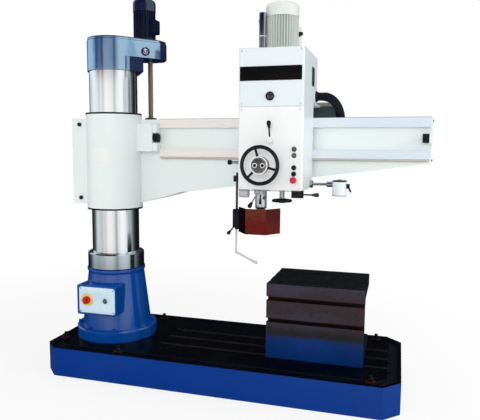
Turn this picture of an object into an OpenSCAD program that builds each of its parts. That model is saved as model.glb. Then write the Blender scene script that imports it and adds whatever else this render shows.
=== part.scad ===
// Radial arm drill: a base plate with a box table, a swivelling column, a lifting arm
// and a drilling head that travels along the arm. Millimetres, column axis on the floor at the origin,
// +X along the arm, +Z up.

/* [Base plate] */
// Column axis to the base's left end
base_left = 357; // [330:1:420]
// Column axis to the base's right end
base_right = 2127; // [2060:1:2300]
// Width of the base
base_w = 950; // [900:1:1100]
// Height of the base
base_h = 203; // [180:1:240]
// Chamfer on the base's plan corners
base_corner = 105; // [60:1:130]
// Thickness of the base's top
base_skin = 85; // [75:1:110]
// Outer wall of the base's underside
base_wall = 34; // [25:1:50]
// Ribs between the underside pockets
base_rib = 26; // [18:1:40]
// Rim outside the coolant gutter
rim_w = 26; // [18:1:40]
// Width of the coolant gutter
gutter_w = 60; // [40:1:75]
// Depth of the coolant gutter
gutter_d = 28; // [15:1:40]
// Round of the switch box, panel and head corners
soft_r = 14; // [6:1:20]

/* [T-slots] */
// Mouth of a T-slot
slot_w = 28; // [18:1:36]
// Head width of a T-slot
slot_head_w = 50; // [40:1:60]
// Depth of a T-slot's mouth
slot_mouth_d = 30; // [20:1:36]
// Height of a T-slot's head
slot_head_h = 20; // [14:1:24]
// Spacing of the base's slots
base_slot_pitch = 160; // [130:1:200]
// Column axis to the start of the base's slots
base_slot_start = 430; // [400:1:600]

/* [Anchor bolts] */
// Anchor stud diameter
anchor_d = 24; // [16:1:26]
// Anchor hole diameter
anchor_hole_d = 28; // [27:0.5:34]
// Boss round an anchor hole
anchor_boss_d = 76; // [70:1:90]
// Anchor nut across its corners
anchor_nut_d = 42; // [36:1:48]
// Anchor nut height
anchor_nut_h = 22; // [14:1:28]
// Stud above the nut
anchor_stub = 16; // [8:1:30]
// Side rows in from the base's long edges
anchor_in = 78; // [65:1:95]
// Column axis to the near side pair
anchor_near = 218; // [180:1:300]
// Far side pair in from the base's right end
anchor_far_in = 182; // [150:1:260]
// Left end pair in from the base's left end
anchor_left_in = 57; // [50:1:75]
// Left end pair in from the base's long edges
anchor_left_row_in = 231; // [200:1:280]

/* [Pedestal] */
// Pedestal flange diameter
flange_d = 600; // [590:1:640]
// Pedestal flange height
flange_h = 82; // [60:1:100]
// Cone diameter at the flange
cone_d = 516; // [490:1:524]
// Cone diameter at the top
cone_top_d = 434; // [424:1:460]
// Pedestal top above the floor
pedestal_top = 721; // [690:1:760]
// Bolts in the flange
flange_bolts = 8; // [6:1:12]
// Flange bolt head across its corners
flange_bolt_d = 34; // [26:1:36]
// Flange bolt head height
flange_bolt_h = 14; // [10:1:20]
// Flange bolt shank
flange_shank_d = 20; // [14:1:24]

/* [Switch box] */
// Width of the switch box
box_w = 312; // [280:1:340]
// Bottom of the switch box above the floor
box_low = 412; // [390:1:430]
// Top of the switch box above the floor
box_high = 632; // [600:1:660]
// Column axis to the switch box's front
box_front = 305; // [295:1:330]
// Main switch left of the box's middle
switch_off = 75; // [60:1:90]
// Diameter of the main switch knob
switch_d = 54; // [40:1:60]
// Depth of the main switch knob
switch_h = 34; // [24:1:44]
// Diameter of the main switch shaft
switch_shaft_d = 12; // [8:1:16]
// Power button right of the box's middle
power_off = 70; // [60:1:90]
// Diameter of the power button
power_d = 24; // [18:1:30]

/* [Column] */
// Fixed inner column diameter
post_d = 280; // [270:1:288]
// Wall of the inner column
post_wall = 25; // [18:1:40]
// Rotating column diameter
column_d = 350; // [346:1:356]
// Bore of the rotating column
column_bore = 300; // [296:1:306]
// Top of the rotating column above the floor
column_top = 2173; // [2150:1:2250]
// Diameter of the column's bottom collar
collar_d = 420; // [400:1:428]
// Height of the column's bottom collar
collar_h = 119; // [90:1:130]
// Height of a column bearing
bearing_h = 60; // [40:1:80]

/* [Lifting gear] */
// Round gearbox diameter
cap_d = 370; // [356:1:390]
// Gearbox height without its lid
cap_h = 217; // [200:1:240]
// Gearbox lid thickness
lid_h = 20; // [14:1:26]
// Turn of the gearbox's nose from +X towards +Y
cap_turn = 35; // [30:1:40]
// Width of the gearbox's nose
nose_w = 220; // [190:1:240]
// Column axis to the end of the nose
nose_end = 392; // [380:1:410]
// Height of the nose without the lid
nose_h = 116; // [100:1:130]
// Column axis to the lift screw
screw_reach = 277; // [270:1:285]
// Lift screw diameter
screw_d = 38; // [32:1:42]
// Length of the lift screw below the gearbox
screw_l = 688; // [680:1:700]
// Lift motor diameter over its fins
lift_motor_d = 164; // [150:1:176]
// Lift motor height without its cowl
lift_motor_h = 210; // [190:1:240]
// Lift motor cowl height
lift_cowl_h = 88; // [75:1:110]

/* [Arm] */
// Arm top above the floor
arm_top = 1829; // [1800:1:1850]
// Depth of the arm from the rail face
arm_back = 300; // [280:1:330]
// Column axis to the arm's end
arm_end = 2250; // [2240:1:2400]
// Arm height at its end
arm_end_h = 299; // [285:1:310]
// Arm height where its straight lower edge starts
arm_root_h = 533; // [510:1:560]
// Column axis to where the lower edge starts
arm_root_x = 520; // [480:1:560]
// Arm height at the barrel
arm_barrel_h = 622; // [600:1:640]
// Arm casting wall
arm_wall = 28; // [20:1:36]
// Barrel diameter
barrel_d = 410; // [400:1:430]
// Barrel below the arm's top
barrel_drop = 652; // [640:1:670]
// Barrel above the arm's top
barrel_rise = 32; // [20:1:40]
// Column axis to the clamp ears' end
ear_reach = 330; // [300:1:345]
// Width over both clamp ears
ear_w = 110; // [90:1:130]
// Gap between the clamp ears
ear_gap = 12; // [8:1:16]
// Wiper seal height
seal_h = 12; // [8:1:16]
// Guide rail thickness
rail_t = 30; // [26:1:40]
// Upper guide rail height
rail_high = 64; // [50:1:70]
// Lower guide rail height
rail_low = 57; // [50:1:70]
// Height over both guide rails
rail_span = 271; // [260:1:280]
// Column axis to the rails' start
rail_start = 367; // [360:1:400]
// Bumper diameter
bumper_d = 58; // [40:1:64]
// Bumper length
bumper_l = 40; // [25:1:45]
// Arm end cover thickness
cover_t = 12; // [8:1:16]

/* [Head] */
// Column axis to the head's left side
head_left = 1081; // [1070:1:1090]
// Head width
head_w = 415; // [405:1:430]
// Rail face to the head's front
head_front = 380; // [370:1:400]
// Head height
head_h = 874; // [850:1:900]
// Head bottom above the floor
head_low = 1363; // [1355:1:1375]
// Head wall
head_wall = 25; // [18:1:28]
// Front panel thickness
panel_t = 15; // [10:1:20]
// Height of the lower front panel
panel_h = 517; // [500:1:540]
// Head over the arm behind the rail face
head_over = 140; // [120:1:160]
// Underside of the head's overhang above the arm
over_rise = 105; // [95:1:130]
// Main motor diameter over its fins
motor_d = 213; // [200:1:220]
// Main motor height without its cowl
motor_h = 232; // [215:1:260]
// Main motor cowl height
cowl_h = 88; // [70:1:110]

/* [Spindle] */
// Column axis to the spindle
spindle_x = 1187; // [1180:1:1195]
// Rail face to the spindle
spindle_y = 190; // [184:1:196]
// Quill diameter
quill_d = 76; // [72:1:80]
// Quill bottom below the head
quill_drop = 138; // [120:1:150]
// Quill length
quill_l = 545; // [520:1:560]
// Quill feed
quill_travel = 315; // [250:1:330]
// Spindle nose diameter
nose_d = 60; // [54:1:66]
// Spindle nose length
nose_l = 92; // [80:1:110]
// Spindle shaft in the quill
journal_d = 44; // [40:1:48]
// Splined shaft above the quill
spline_d = 40; // [34:1:42]
// Large end of the taper bore
taper_d = 31.3; // [24:0.1:38]
// Small end of the taper bore
taper_small_d = 26; // [20:0.1:28]
// Spindle cover tube diameter
tube_d = 48; // [46:1:56]
// Spindle cover tube height above the head
tube_h = 251; // [230:1:270]

/* [Gears] */
// Module of the head's gears
gear_m = 4; // [3:0.5:4]
// Teeth on the spindle gear
spindle_teeth = 37; // [35:1:37]
// Teeth on the motor gear
motor_teeth = 33; // [33:1:34]
// Module of the lifting gears
lift_m = 1.5; // [1.5:0.1:1.7]
// Teeth on the screw's gear
screw_teeth = 40; // [36:1:42]
// Teeth on the lift motor's pinion
lift_teeth = 20; // [18:1:22]
// Module of the traverse rack
rack_m = 3; // [2.5:0.1:3]
// Teeth on the traverse pinion
pinion_teeth = 18; // [17:1:18]
// Backlash between flanks
backlash = 0.3; // [0.2:0.05:0.5]

/* [Controls] */
// Traverse handwheel diameter
wheel_d = 250; // [220:1:270]
// Handwheel right of the spindle
wheel_off = 55; // [53:1:60]
// Handwheel plane in front of the head
wheel_out = 80; // [70:1:95]
// Handwheel hub diameter
hub_d = 110; // [90:1:120]
// Traverse shaft diameter
shaft_d = 24; // [18:1:24]
// Push-button diameter
button_d = 22; // [16:1:24]
// Push-button travel
button_travel = 5; // [3:0.5:6]
// Fine-feed wheel diameter
fine_d = 132; // [110:1:140]
// Lever rod diameter
lever_d = 10; // [8:1:14]
// Lever knob diameter
knob_d = 28; // [22:1:34]

/* [Guard, coolant and lamp] */
// Guard screen height
guard_h = 168; // [140:1:180]
// Guard screen width
guard_w = 282; // [260:1:300]
// Guard screen depth
guard_depth = 110; // [90:1:130]
// Guard screen thickness
guard_t = 4; // [3:0.5:6]
// Guard rod diameter
rod_d = 14; // [12:1:18]
// Coolant pipe diameter
pipe_d = 14; // [10:1:18]
// Lamp shade diameter
lamp_d = 92; // [80:1:100]
// Lamp shade height
lamp_h = 99; // [85:1:110]
// Conduit diameter
conduit_d = 44; // [36:1:50]

/* [Box table] */
// Column axis to the table's left side
table_left = 1234; // [1232:1:1300]
// Table length
table_l = 651; // [600:1:700]
// Rail face to the table's front
table_front = 199; // [180:1:220]
// Table depth
table_depth = 515; // [480:1:540]
// Table height
table_h = 514; // [480:1:540]
// Table top thickness
table_top_t = 78; // [70:1:90]
// Table wall thickness
table_wall = 70; // [64:1:80]
// Spacing of the top slots
table_slot_pitch = 150; // [130:1:165]
// Lower front slot above the base
front_slot_low = 262; // [240:1:290]
// Spacing of the front slots
front_slot_pitch = 150; // [130:1:165]

/* [Hidden] */
$fn = 64;

// Clearances: running fits, flat slides, and the overrun of every cut
run = 0.05;
gap = 0.3;
over = 20;

// Places worked out from the driving sizes
spindle_pos = [spindle_x, -spindle_y, 0];
head_right = head_left + head_w;
head_top = head_low + head_h;
case_front = -(head_front - panel_t);
panel_top = head_low + panel_h;
over_low = arm_top + over_rise;
rail_bottom = arm_top - rail_span;
barrel_low = arm_top - barrel_drop;
barrel_high = arm_top + barrel_rise;
cap_low = column_top + run;
cap_top = column_top + cap_h;
lid_top = cap_top + lid_h;
nose_low = cap_top - nose_h;
lift_centre = lift_m * (screw_teeth + lift_teeth) / 2;
lift_turn = 18;
lift_pos = [screw_reach - lift_centre * cos(lift_turn), -lift_centre * sin(lift_turn), 0];
gear_centre = gear_m * (spindle_teeth + motor_teeth) / 2;
motor_turn = 38;
motor_pos = spindle_pos + gear_centre * [cos(motor_turn), sin(motor_turn), 0];
pinion_r = rack_m * pinion_teeth / 2;
rack_back = 9;
rack_root = 1.25;
rack_line = rail_bottom - rack_back - rack_root * rack_m;
wheel_x = spindle_x + wheel_off;
wheel_z = rack_line - pinion_r;
wheel_y = -head_front - wheel_out;
pressure = 20;
table_top = base_h + table_h;

// Gear teeth: the angle of an involute, a flank's half angle at a radius, and the outline
function involute(a) = tan(a) * 180 / PI - a;
function half_tooth(teeth, m, r) =
    let (pitch_r = m * teeth / 2, base_r = pitch_r * cos(pressure))
    90 / teeth - backlash / pitch_r * 45 / PI + involute(pressure)
        - (r > base_r ? involute(acos(base_r / r)) : 0);
flank_shares = [-1.25, -0.9, -0.4, 0.1, 0.55, 0.95];
function gear_points(teeth, m) =
    let (radii = [for (s = flank_shares) m * teeth / 2 + m * s], last = len(flank_shares) - 1)
    [for (i = [0 : teeth - 1], side = [-1, 1], k = [0 : last])
        let (r = radii[side < 0 ? k : last - k], a = i * 360 / teeth + side * half_tooth(teeth, m, r))
        r * [cos(a), sin(a)]];

// A straight box between two corners, and rods along each axis
module slab(low, high) { translate(low) cube(high - low); }
module zrod(at, low, high, d) { translate([at.x, at.y, low]) cylinder(h = high - low, d = d); }
module yrod(at, low, high, d) {
    translate([at.x, high, at.y]) rotate([90, 0, 0]) cylinder(h = high - low, d = d);
}
module xrod(at, low, high, d) {
    translate([low, at.x, at.y]) rotate([0, 90, 0]) cylinder(h = high - low, d = d);
}
// A box with round upright edges
module soft_box(low, high, r) {
    slab(low + [r, 0, 0], high - [r, 0, 0]);
    slab(low + [0, r, 0], high - [0, r, 0]);
    for (x = [low.x + r, high.x - r], y = [low.y + r, high.y - r]) zrod([x, y], low.z, high.z, 2 * r);
}
// A box with round front and back outline, its axis along Y
module soft_plate(low, high, r) {
    slab(low + [r, 0, 0], high - [r, 0, 0]);
    slab(low + [0, 0, r], high - [0, 0, r]);
    for (x = [low.x + r, high.x - r], z = [low.z + r, high.z - r]) yrod([x, z], low.y, high.y, 2 * r);
}
module ring(low, high, outer_d, inner_d) {
    difference() {
        zrod([0, 0], low, high, outer_d);
        zrod([0, 0], low - over, high + over, inner_d);
    }
}
module spur(teeth, m, low, high) {
    translate([0, 0, low]) linear_extrude(high - low) polygon(gear_points(teeth, m));
}
// A T-slot along X, its mouth at the origin and opening upwards
module t_slot(length, fit) {
    translate([0, -slot_w / 2, -slot_mouth_d - fit]) cube([length, slot_w, slot_mouth_d + fit + over]);
    translate([0, -slot_head_w / 2, -slot_mouth_d - slot_head_h]) cube([length, slot_head_w, slot_head_h]);
}

// Base plate
anchor_row = base_w / 2 - anchor_in;
anchor_left_row = base_w / 2 - anchor_left_row_in;
anchor_places = [for (p = [[anchor_near, anchor_row], [base_right - anchor_far_in, anchor_row],
    [anchor_left_in - base_left, anchor_left_row]], s = [1, -1]) [p.x, s * p.y]];
pockets_long = 10;
pockets_wide = 4;
pocket_l = (base_left + base_right - 2 * base_wall - (pockets_long - 1) * base_rib) / pockets_long;
pocket_w = (base_w - 2 * base_wall - (pockets_wide - 1) * base_rib) / pockets_wide;
corner_share = 2 - sqrt(2);

module base_plan(inset, low, high) {
    l = -base_left + inset;
    r = base_right - inset;
    w = base_w / 2 - inset;
    c = base_corner - inset * corner_share;
    translate([0, 0, low]) linear_extrude(high - low) polygon([[l + c, -w], [r - c, -w], [r, -w + c],
        [r, w - c], [r - c, w], [l + c, w], [l, w - c], [l, -w + c]]);
}
module anchor_columns(d) {
    for (p = anchor_places) zrod(p, -over, base_h + over, d);
}
module base_plate() {
    color("royalblue") difference() {
        base_plan(0, 0, base_h);
        difference() {
            base_plan(rim_w, base_h - gutter_d, base_h + over);
            base_plan(rim_w + gutter_w, base_h - gutter_d - over, base_h + 2 * over);
            anchor_columns(anchor_boss_d);
        }
        for (i = [-1 : 1]) translate([base_slot_start, i * base_slot_pitch, base_h])
            t_slot(base_right - base_slot_start - rim_w - gutter_w + over, 0);
        difference() {
            intersection() {
                base_plan(base_wall, -over, base_h - base_skin);
                for (i = [0 : pockets_long - 1], j = [0 : pockets_wide - 1])
                    translate([-base_left + base_wall + i * (pocket_l + base_rib),
                        -base_w / 2 + base_wall + j * (pocket_w + base_rib), -over])
                        cube([pocket_l, pocket_w, base_h - base_skin + over]);
            }
            anchor_columns(anchor_boss_d);
        }
        anchor_columns(anchor_hole_d);
    }
}
module anchor_bolts() {
    color("dimgray") for (p = anchor_places) {
        zrod(p, base_h - base_skin, base_h + anchor_nut_h + anchor_stub, anchor_d);
        translate([p.x, p.y, base_h]) cylinder(h = anchor_nut_h, d = anchor_nut_d, $fn = 6);
    }
}

// Pedestal with its flange, bolts and switch box
flange_top = base_h + flange_h;
flange_lip = 10;
bolt_ring = (flange_d + cone_d) / 4;
crown_h = 16;
module flange_bolt_places() {
    for (i = [0 : flange_bolts - 1]) rotate((i + 1 / 2) * 360 / flange_bolts)
        translate([bolt_ring, 0]) children();
}
module pedestal() {
    color("royalblue") difference() {
        rotate_extrude() polygon([[post_d / 2 + run, base_h], [flange_d / 2, base_h],
            [flange_d / 2, flange_top - flange_lip], [flange_d / 2 - flange_lip, flange_top],
            [cone_d / 2, flange_top], [cone_top_d / 2 - crown_h / 2, pedestal_top - 2 * crown_h],
            [cone_top_d / 2, pedestal_top - crown_h], [cone_top_d / 2, pedestal_top],
            [post_d / 2 + run, pedestal_top]]);
        flange_bolt_places()
            zrod([0, 0], flange_top - flange_h / 2, flange_top + over, flange_shank_d + 2 * gap);
        slab([-box_w / 2 + soft_r, -box_front, box_low + soft_r], [box_w / 2 - soft_r, -post_d / 2 - box_seat,
            box_high - soft_r]);
    }
}
module pedestal_bolts() {
    color("gray") flange_bolt_places() {
        zrod([0, 0], flange_top - flange_h / 2, flange_top + flange_bolt_h, flange_shank_d);
        translate([0, 0, flange_top]) cylinder(h = flange_bolt_h, d = flange_bolt_d, $fn = 6);
    }
}
box_seat = 20;
box_wall = 12;
switch_z = (box_low + box_high) / 2;
button_back = 18;
module pedestal_skin() {
    rotate_extrude() polygon([[0, base_h], [flange_d / 2, base_h], [cone_d / 2, flange_top],
        [cone_top_d / 2 - crown_h / 2, pedestal_top - 2 * crown_h], [0, pedestal_top]]);
}
module switch_box() {
    color("royalblue") difference() {
        union() {
            difference() {
                soft_plate([-box_w / 2, -box_front, box_low],
                    [box_w / 2, -post_d / 2 - box_seat - gap, box_high], soft_r);
                pedestal_skin();
            }
            slab([-box_w / 2 + soft_r + gap, -box_front + box_wall, box_low + soft_r + gap],
                [box_w / 2 - soft_r - gap, -post_d / 2 - box_seat - gap, box_high - soft_r - gap]);
        }
        for (b = [[-switch_off, switch_shaft_d + 2 * run], [power_off, power_d + 2 * gap]])
            yrod([b[0], switch_z], -box_front - over, -post_d / 2 - 2 * box_seat, b[1]);
    }
}
grip_w = 16;
disc_h = 6;
module main_switch_knob() {
    color("red") {
        yrod([-switch_off, switch_z], -box_front - disc_h - switch_h / 2, -box_front - gap, switch_d);
        slab([-switch_off - grip_w / 2, -box_front - disc_h - switch_h, switch_z - switch_d / 2 + disc_h],
            [-switch_off + grip_w / 2, -box_front - disc_h, switch_z + switch_d / 2 - disc_h]);
        yrod([-switch_off, switch_z], -box_front - disc_h, -box_front + 2 * button_back, switch_shaft_d);
    }
}
module power_button() {
    color("green") yrod([power_off, switch_z], -box_front - 2 * disc_h, -box_front + button_back, power_d);
}

// Column: fixed post, bearings and the rotating sleeve with its collar
post_top = column_top - gap;
module inner_column() {
    color("gray") ring(base_h, post_top, post_d, post_d - 2 * post_wall);
}
module column_bearings() {
    color("goldenrod") for (low = [pedestal_top, post_top - bearing_h])
        ring(low, low + bearing_h, column_bore - 2 * run, post_d + 2 * run);
}
collar_edge = 8;
module column_sleeve() {
    low = pedestal_top + gap;
    color("lightgray") rotate_extrude() polygon([[column_bore / 2, low], [collar_d / 2 - collar_edge, low],
        [collar_d / 2, low + collar_edge], [collar_d / 2, low + collar_h - collar_edge],
        [collar_d / 2 - collar_edge, low + collar_h], [column_d / 2, low + collar_h],
        [column_d / 2, column_top], [column_bore / 2, column_top]]);
}

// Lifting gear, drawn with the nose along X and then turned
nose_corner = 60;
nose_blend = 1;
web_reach = 204;
web_in = 10;
gear_room = 4;
gear_face = 30;
room_low = cap_top - 3 * gear_face;
screw_collar_d = 52;
shaft_small_d = 18;
screw_gear_low = room_low + 2 * gear_face / 3;
// The gearbox's nose in plan, its sides running off the round cap
module cap_plan(low, high, inset) {
    e = nose_end - inset;
    w = nose_w / 2 - inset;
    r = cap_d / 2 - inset - nose_blend;
    a = atan2(w, e - nose_corner) + acos(r / norm([e - nose_corner, w]));
    t = r * [cos(a), sin(a)];
    translate([0, 0, low]) linear_extrude(high - low) polygon([[t.x, -t.y], [e - nose_corner, -w],
        [e, -w + nose_corner], [e, w - nose_corner], [e - nose_corner, w], t]);
}
module lift_gearbox() {
    color("dodgerblue") rotate(cap_turn) difference() {
        union() {
            zrod([0, 0], cap_low, cap_top, cap_d);
            cap_plan(nose_low, cap_top, 0);
            intersection() {
                cap_plan(cap_low, nose_low + over, web_in);
                slab([0, -nose_w, cap_low - over], [web_reach, nose_w, cap_top]);
            }
        }
        translate([screw_reach, 0]) zrod([0, 0], column_top - over, cap_top, screw_d + 2 * run);
        for (g = [[[screw_reach, 0], screw_teeth], [lift_pos, lift_teeth]])
            zrod(g[0], room_low, cap_top + over, lift_m * (g[1] + 2) + 2 * gear_room);
    }
}
module gearbox_lid() {
    color("dodgerblue") rotate(cap_turn) difference() {
        union() {
            zrod([0, 0], cap_top, lid_top, cap_d - 2 * lid_edge);
            cap_plan(cap_top, lid_top, lid_edge);
        }
        zrod(lift_pos, cap_top - over, lid_top + over, shaft_small_d + 2 * gear_room);
    }
}
lid_edge = 5;
fin_t = 4;
fin_h = 12;
lift_flange_h = 16;
lift_flange_rim = 3;
lift_flange_d = lift_motor_d + 2 * lift_flange_rim;
lift_fins = 28;
term_w = 86;
term_out = 105;
term_h = 104;
term_low = 50;
lift_bore_d = 60;
module finned_body(low, high, d, fins) {
    root = d / 2 - fin_h;
    fin = [[root, -fin_t / 2], [d / 2, -fin_t / 2], [d / 2, fin_t / 2], [root, fin_t / 2]];
    translate([0, 0, low]) linear_extrude(high - low) polygon([for (i = [0 : fins - 1], p = fin)
        let (a = i * 360 / fins) [p.x * cos(a) - p.y * sin(a), p.x * sin(a) + p.y * cos(a)]]);
}
module lift_motor() {
    color("navy") rotate(cap_turn) translate([lift_pos.x, lift_pos.y, lid_top]) difference() {
        union() {
            zrod([0, 0], 0, lift_flange_h, lift_flange_d);
            finned_body(lift_flange_h, lift_motor_h, lift_motor_d, lift_fins);
            rotate(-cap_turn) soft_plate([0, -term_w / 2, term_low],
                [term_out, term_w / 2, term_low + term_h], soft_r);
        }
        zrod([0, 0], -over, lift_bore_d, shaft_small_d + 2 * run);
    }
}
cowl_round = 30;
cowl_cap_d = 90;
cowl_cap_h = 14;
cowl_skirt = 4;
module cowl(d, h) {
    rotate_extrude() {
        square([d / 2 - cowl_round, h]);
        square([d / 2, h - cowl_round]);
        translate([d / 2 - cowl_round, h - cowl_round]) intersection() {
            circle(r = cowl_round);
            square(cowl_round);
        }
    }
}
module lift_motor_cowl() {
    color("navy") rotate(cap_turn) translate([lift_pos.x, lift_pos.y, lid_top + lift_motor_h]) {
        cowl(lift_motor_d + cowl_skirt, lift_cowl_h);
        zrod([0, 0], lift_cowl_h / 2, lift_cowl_h + cowl_cap_h, cowl_cap_d);
    }
}
module lift_screw() {
    color("sienna") rotate(cap_turn) translate([screw_reach, 0]) {
        zrod([0, 0], column_top - screw_l, cap_top - gear_face / 2, screw_d);
        zrod([0, 0], room_low + gap, screw_gear_low, screw_collar_d);
        rotate(180 + lift_turn) spur(screw_teeth, lift_m, screw_gear_low, screw_gear_low + gear_face);
    }
}
module lift_pinion() {
    color("silver") rotate(cap_turn) translate(lift_pos) rotate(lift_turn + 180 / lift_teeth) {
        zrod([0, 0], screw_gear_low, lid_top + lift_bore_d - gap, shaft_small_d);
        spur(lift_teeth, lift_m, screw_gear_low, screw_gear_low + gear_face);
    }
}

// Arm
arm_low_end = arm_top - arm_end_h;
arm_low_root = arm_top - arm_root_h;
arm_low_barrel = arm_top - arm_barrel_h;
belly_x = 359;
belly_drop = 55;
belly_end_drop = 39;
belly_z = arm_low_root - belly_drop;
back_blend = 430;
ear_low_in = 20;
ear_rise = 8;
ear_low = barrel_low + ear_low_in;
ear_high = arm_top + ear_rise;
ear_root = 150;
ear_bolt_in = 72;
ear_bolt_x = ear_reach - ear_bolt_in;
ear_bolt_inset = 45;
ear_bolt_d = 20;
pad_front = 36;
pad_left = 150;
pad_low = 37;
pad_high = 237;
cavity_lead = 50;
cavity_x = arm_root_x - cavity_lead;
nut_flange_d = 88;
nut_sleeve_d = 62;
nut_flange_h = 16;
nut_l = 60;
screw_room = 7;
screw_room_d = screw_d + 2 * screw_room;
steps = 6;
function bend(a, b, c) = [for (i = [0 : steps]) let (t = i / steps)
    (1 - t) * (1 - t) * a + 2 * t * (1 - t) * b + t * t * c];
module along_y(low, high) {
    translate([0, high, 0]) rotate([90, 0, 0]) linear_extrude(high - low) children();
}
module arm_side() {
    polygon(concat([[0, arm_top], [arm_end, arm_top], [arm_end, arm_low_end]],
        bend([arm_root_x, arm_low_root], [belly_x, belly_z], [0, arm_low_barrel - belly_end_drop])));
}
module arm_plan() {
    translate([0, 0, barrel_low]) linear_extrude(barrel_drop + barrel_rise) polygon([[0, 0],
        [pad_left, rail_t], [arm_end, rail_t], [arm_end, arm_back], [back_blend, arm_back],
        [0, barrel_d / 2]]);
}
module arm_casting() {
    slope = (arm_low_end - arm_low_root) / (arm_end - arm_root_x);
    color("whitesmoke") difference() {
        union() {
            zrod([0, 0], barrel_low, barrel_high, barrel_d);
            intersection() {
                along_y(-over, arm_back + over) arm_side();
                arm_plan();
            }
            soft_box([-ear_reach, -ear_w / 2, ear_low], [-ear_root, ear_w / 2, ear_high], soft_r);
            soft_plate([pad_left, -pad_front, rail_bottom + pad_low],
                [rail_start - bumper_l, rail_t + over, rail_bottom + pad_high], soft_r);
        }
        zrod([0, 0], barrel_low - over, barrel_high + over, column_d + 2 * run);
        slab([-ear_reach - over, -ear_gap / 2, barrel_low - over],
            [-ear_root, ear_gap / 2, barrel_high + over]);
        for (z = [ear_low + ear_bolt_inset, ear_high - ear_bolt_inset])
            yrod([-ear_bolt_x, z], -ear_w, ear_w, ear_bolt_d + 2 * gap);
        along_y(rail_t + arm_wall, arm_back - arm_wall) polygon([[cavity_x, arm_top - arm_wall],
            [arm_end + over, arm_top - arm_wall], [arm_end + over, arm_low_end + arm_wall + slope * over],
            [cavity_x, arm_low_root + arm_wall - slope * (arm_root_x - cavity_x)]]);
        rotate(cap_turn) translate([screw_reach, 0]) {
            zrod([0, 0], barrel_low - over, barrel_high + over, screw_room_d);
            zrod([0, 0], arm_top - nut_l, arm_top + over, nut_sleeve_d + 2 * run);
        }
    }
}
module guide_rails() {
    color("silver") for (z = [[rail_bottom, rail_bottom + rail_low], [arm_top - rail_high, arm_top]])
        slab([rail_start, 0, z[0]], [arm_end, rail_t, z[1]]);
}
rack_face_in = 6;
rack_tip = 0.95;
module traverse_rack() {
    pitch = PI * rack_m;
    teeth = floor((arm_end - rail_start) / pitch) - 1;
    lead = floor((wheel_x - rail_start) / pitch) * pitch;
    half_tip = pitch / 4 - backlash / 4 - rack_tip * rack_m * tan(pressure);
    half_root = pitch / 4 - backlash / 4 + rack_root * rack_m * tan(pressure);
    tip = rack_line - rack_tip * rack_m;
    root = rack_line + rack_root * rack_m;
    start = wheel_x - lead + pitch / 2;
    tooth = [[-half_root, root], [-half_tip, tip], [half_tip, tip], [half_root, root]];
    color("silver") along_y(rack_face_in, rail_t) polygon(concat(
        [[arm_end, rail_bottom], [rail_start, rail_bottom], [rail_start, root]],
        [for (i = [0 : teeth - 1], p = tooth) [start + i * pitch + p[0], p[1]]],
        [[arm_end, root]]));
}
module arm_seals() {
    color("dimgray") for (low = [barrel_low - seal_h, barrel_high])
        ring(low, low + seal_h, barrel_d, column_d + 2 * gap);
}
bolt_head_h = 12;
bolt_head_d = 32;
module clamp_bolts() {
    color("dimgray") for (z = [ear_low + ear_bolt_inset, ear_high - ear_bolt_inset])
        translate([-ear_bolt_x, 0, z]) rotate([90, 0, 0]) {
            cylinder(h = ear_w + 2 * bolt_head_h, d = ear_bolt_d, center = true);
            for (s = [-1, 1]) translate([0, 0, s * (ear_w + bolt_head_h) / 2])
                cylinder(h = bolt_head_h, d = bolt_head_d, center = true, $fn = 6);
        }
}
module lift_nut() {
    color("peru") rotate(cap_turn) translate([screw_reach, 0]) difference() {
        union() {
            zrod([0, 0], arm_top, arm_top + nut_flange_h, nut_flange_d);
            zrod([0, 0], arm_top - nut_l, arm_top, nut_sleeve_d);
        }
        zrod([0, 0], arm_top - nut_l - over, arm_top + nut_flange_h + over, screw_d + 2 * run);
    }
}
stop_inset = 8;
bumper_z = rail_bottom + rail_span / 2;
stop_face = arm_end - stop_inset;
module arm_bumpers() {
    color("black") for (x = [rail_start - bumper_l, stop_face - bumper_l])
        xrod([-pad_front + bumper_d / 2, bumper_z], x, x + bumper_l, bumper_d);
}
tab_rise = 6;
module arm_end_cover() {
    tab = bumper_d / 2 + tab_rise;
    color("whitesmoke") {
        slab([arm_end, rail_t, arm_low_end], [arm_end + cover_t, arm_back, arm_top]);
        slab([arm_end, -pad_front, bumper_z - tab], [arm_end + cover_t, rail_t, bumper_z + tab]);
        slab([stop_face, -pad_front, bumper_z - tab], [arm_end, -gap, bumper_z + tab]);
    }
}

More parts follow.
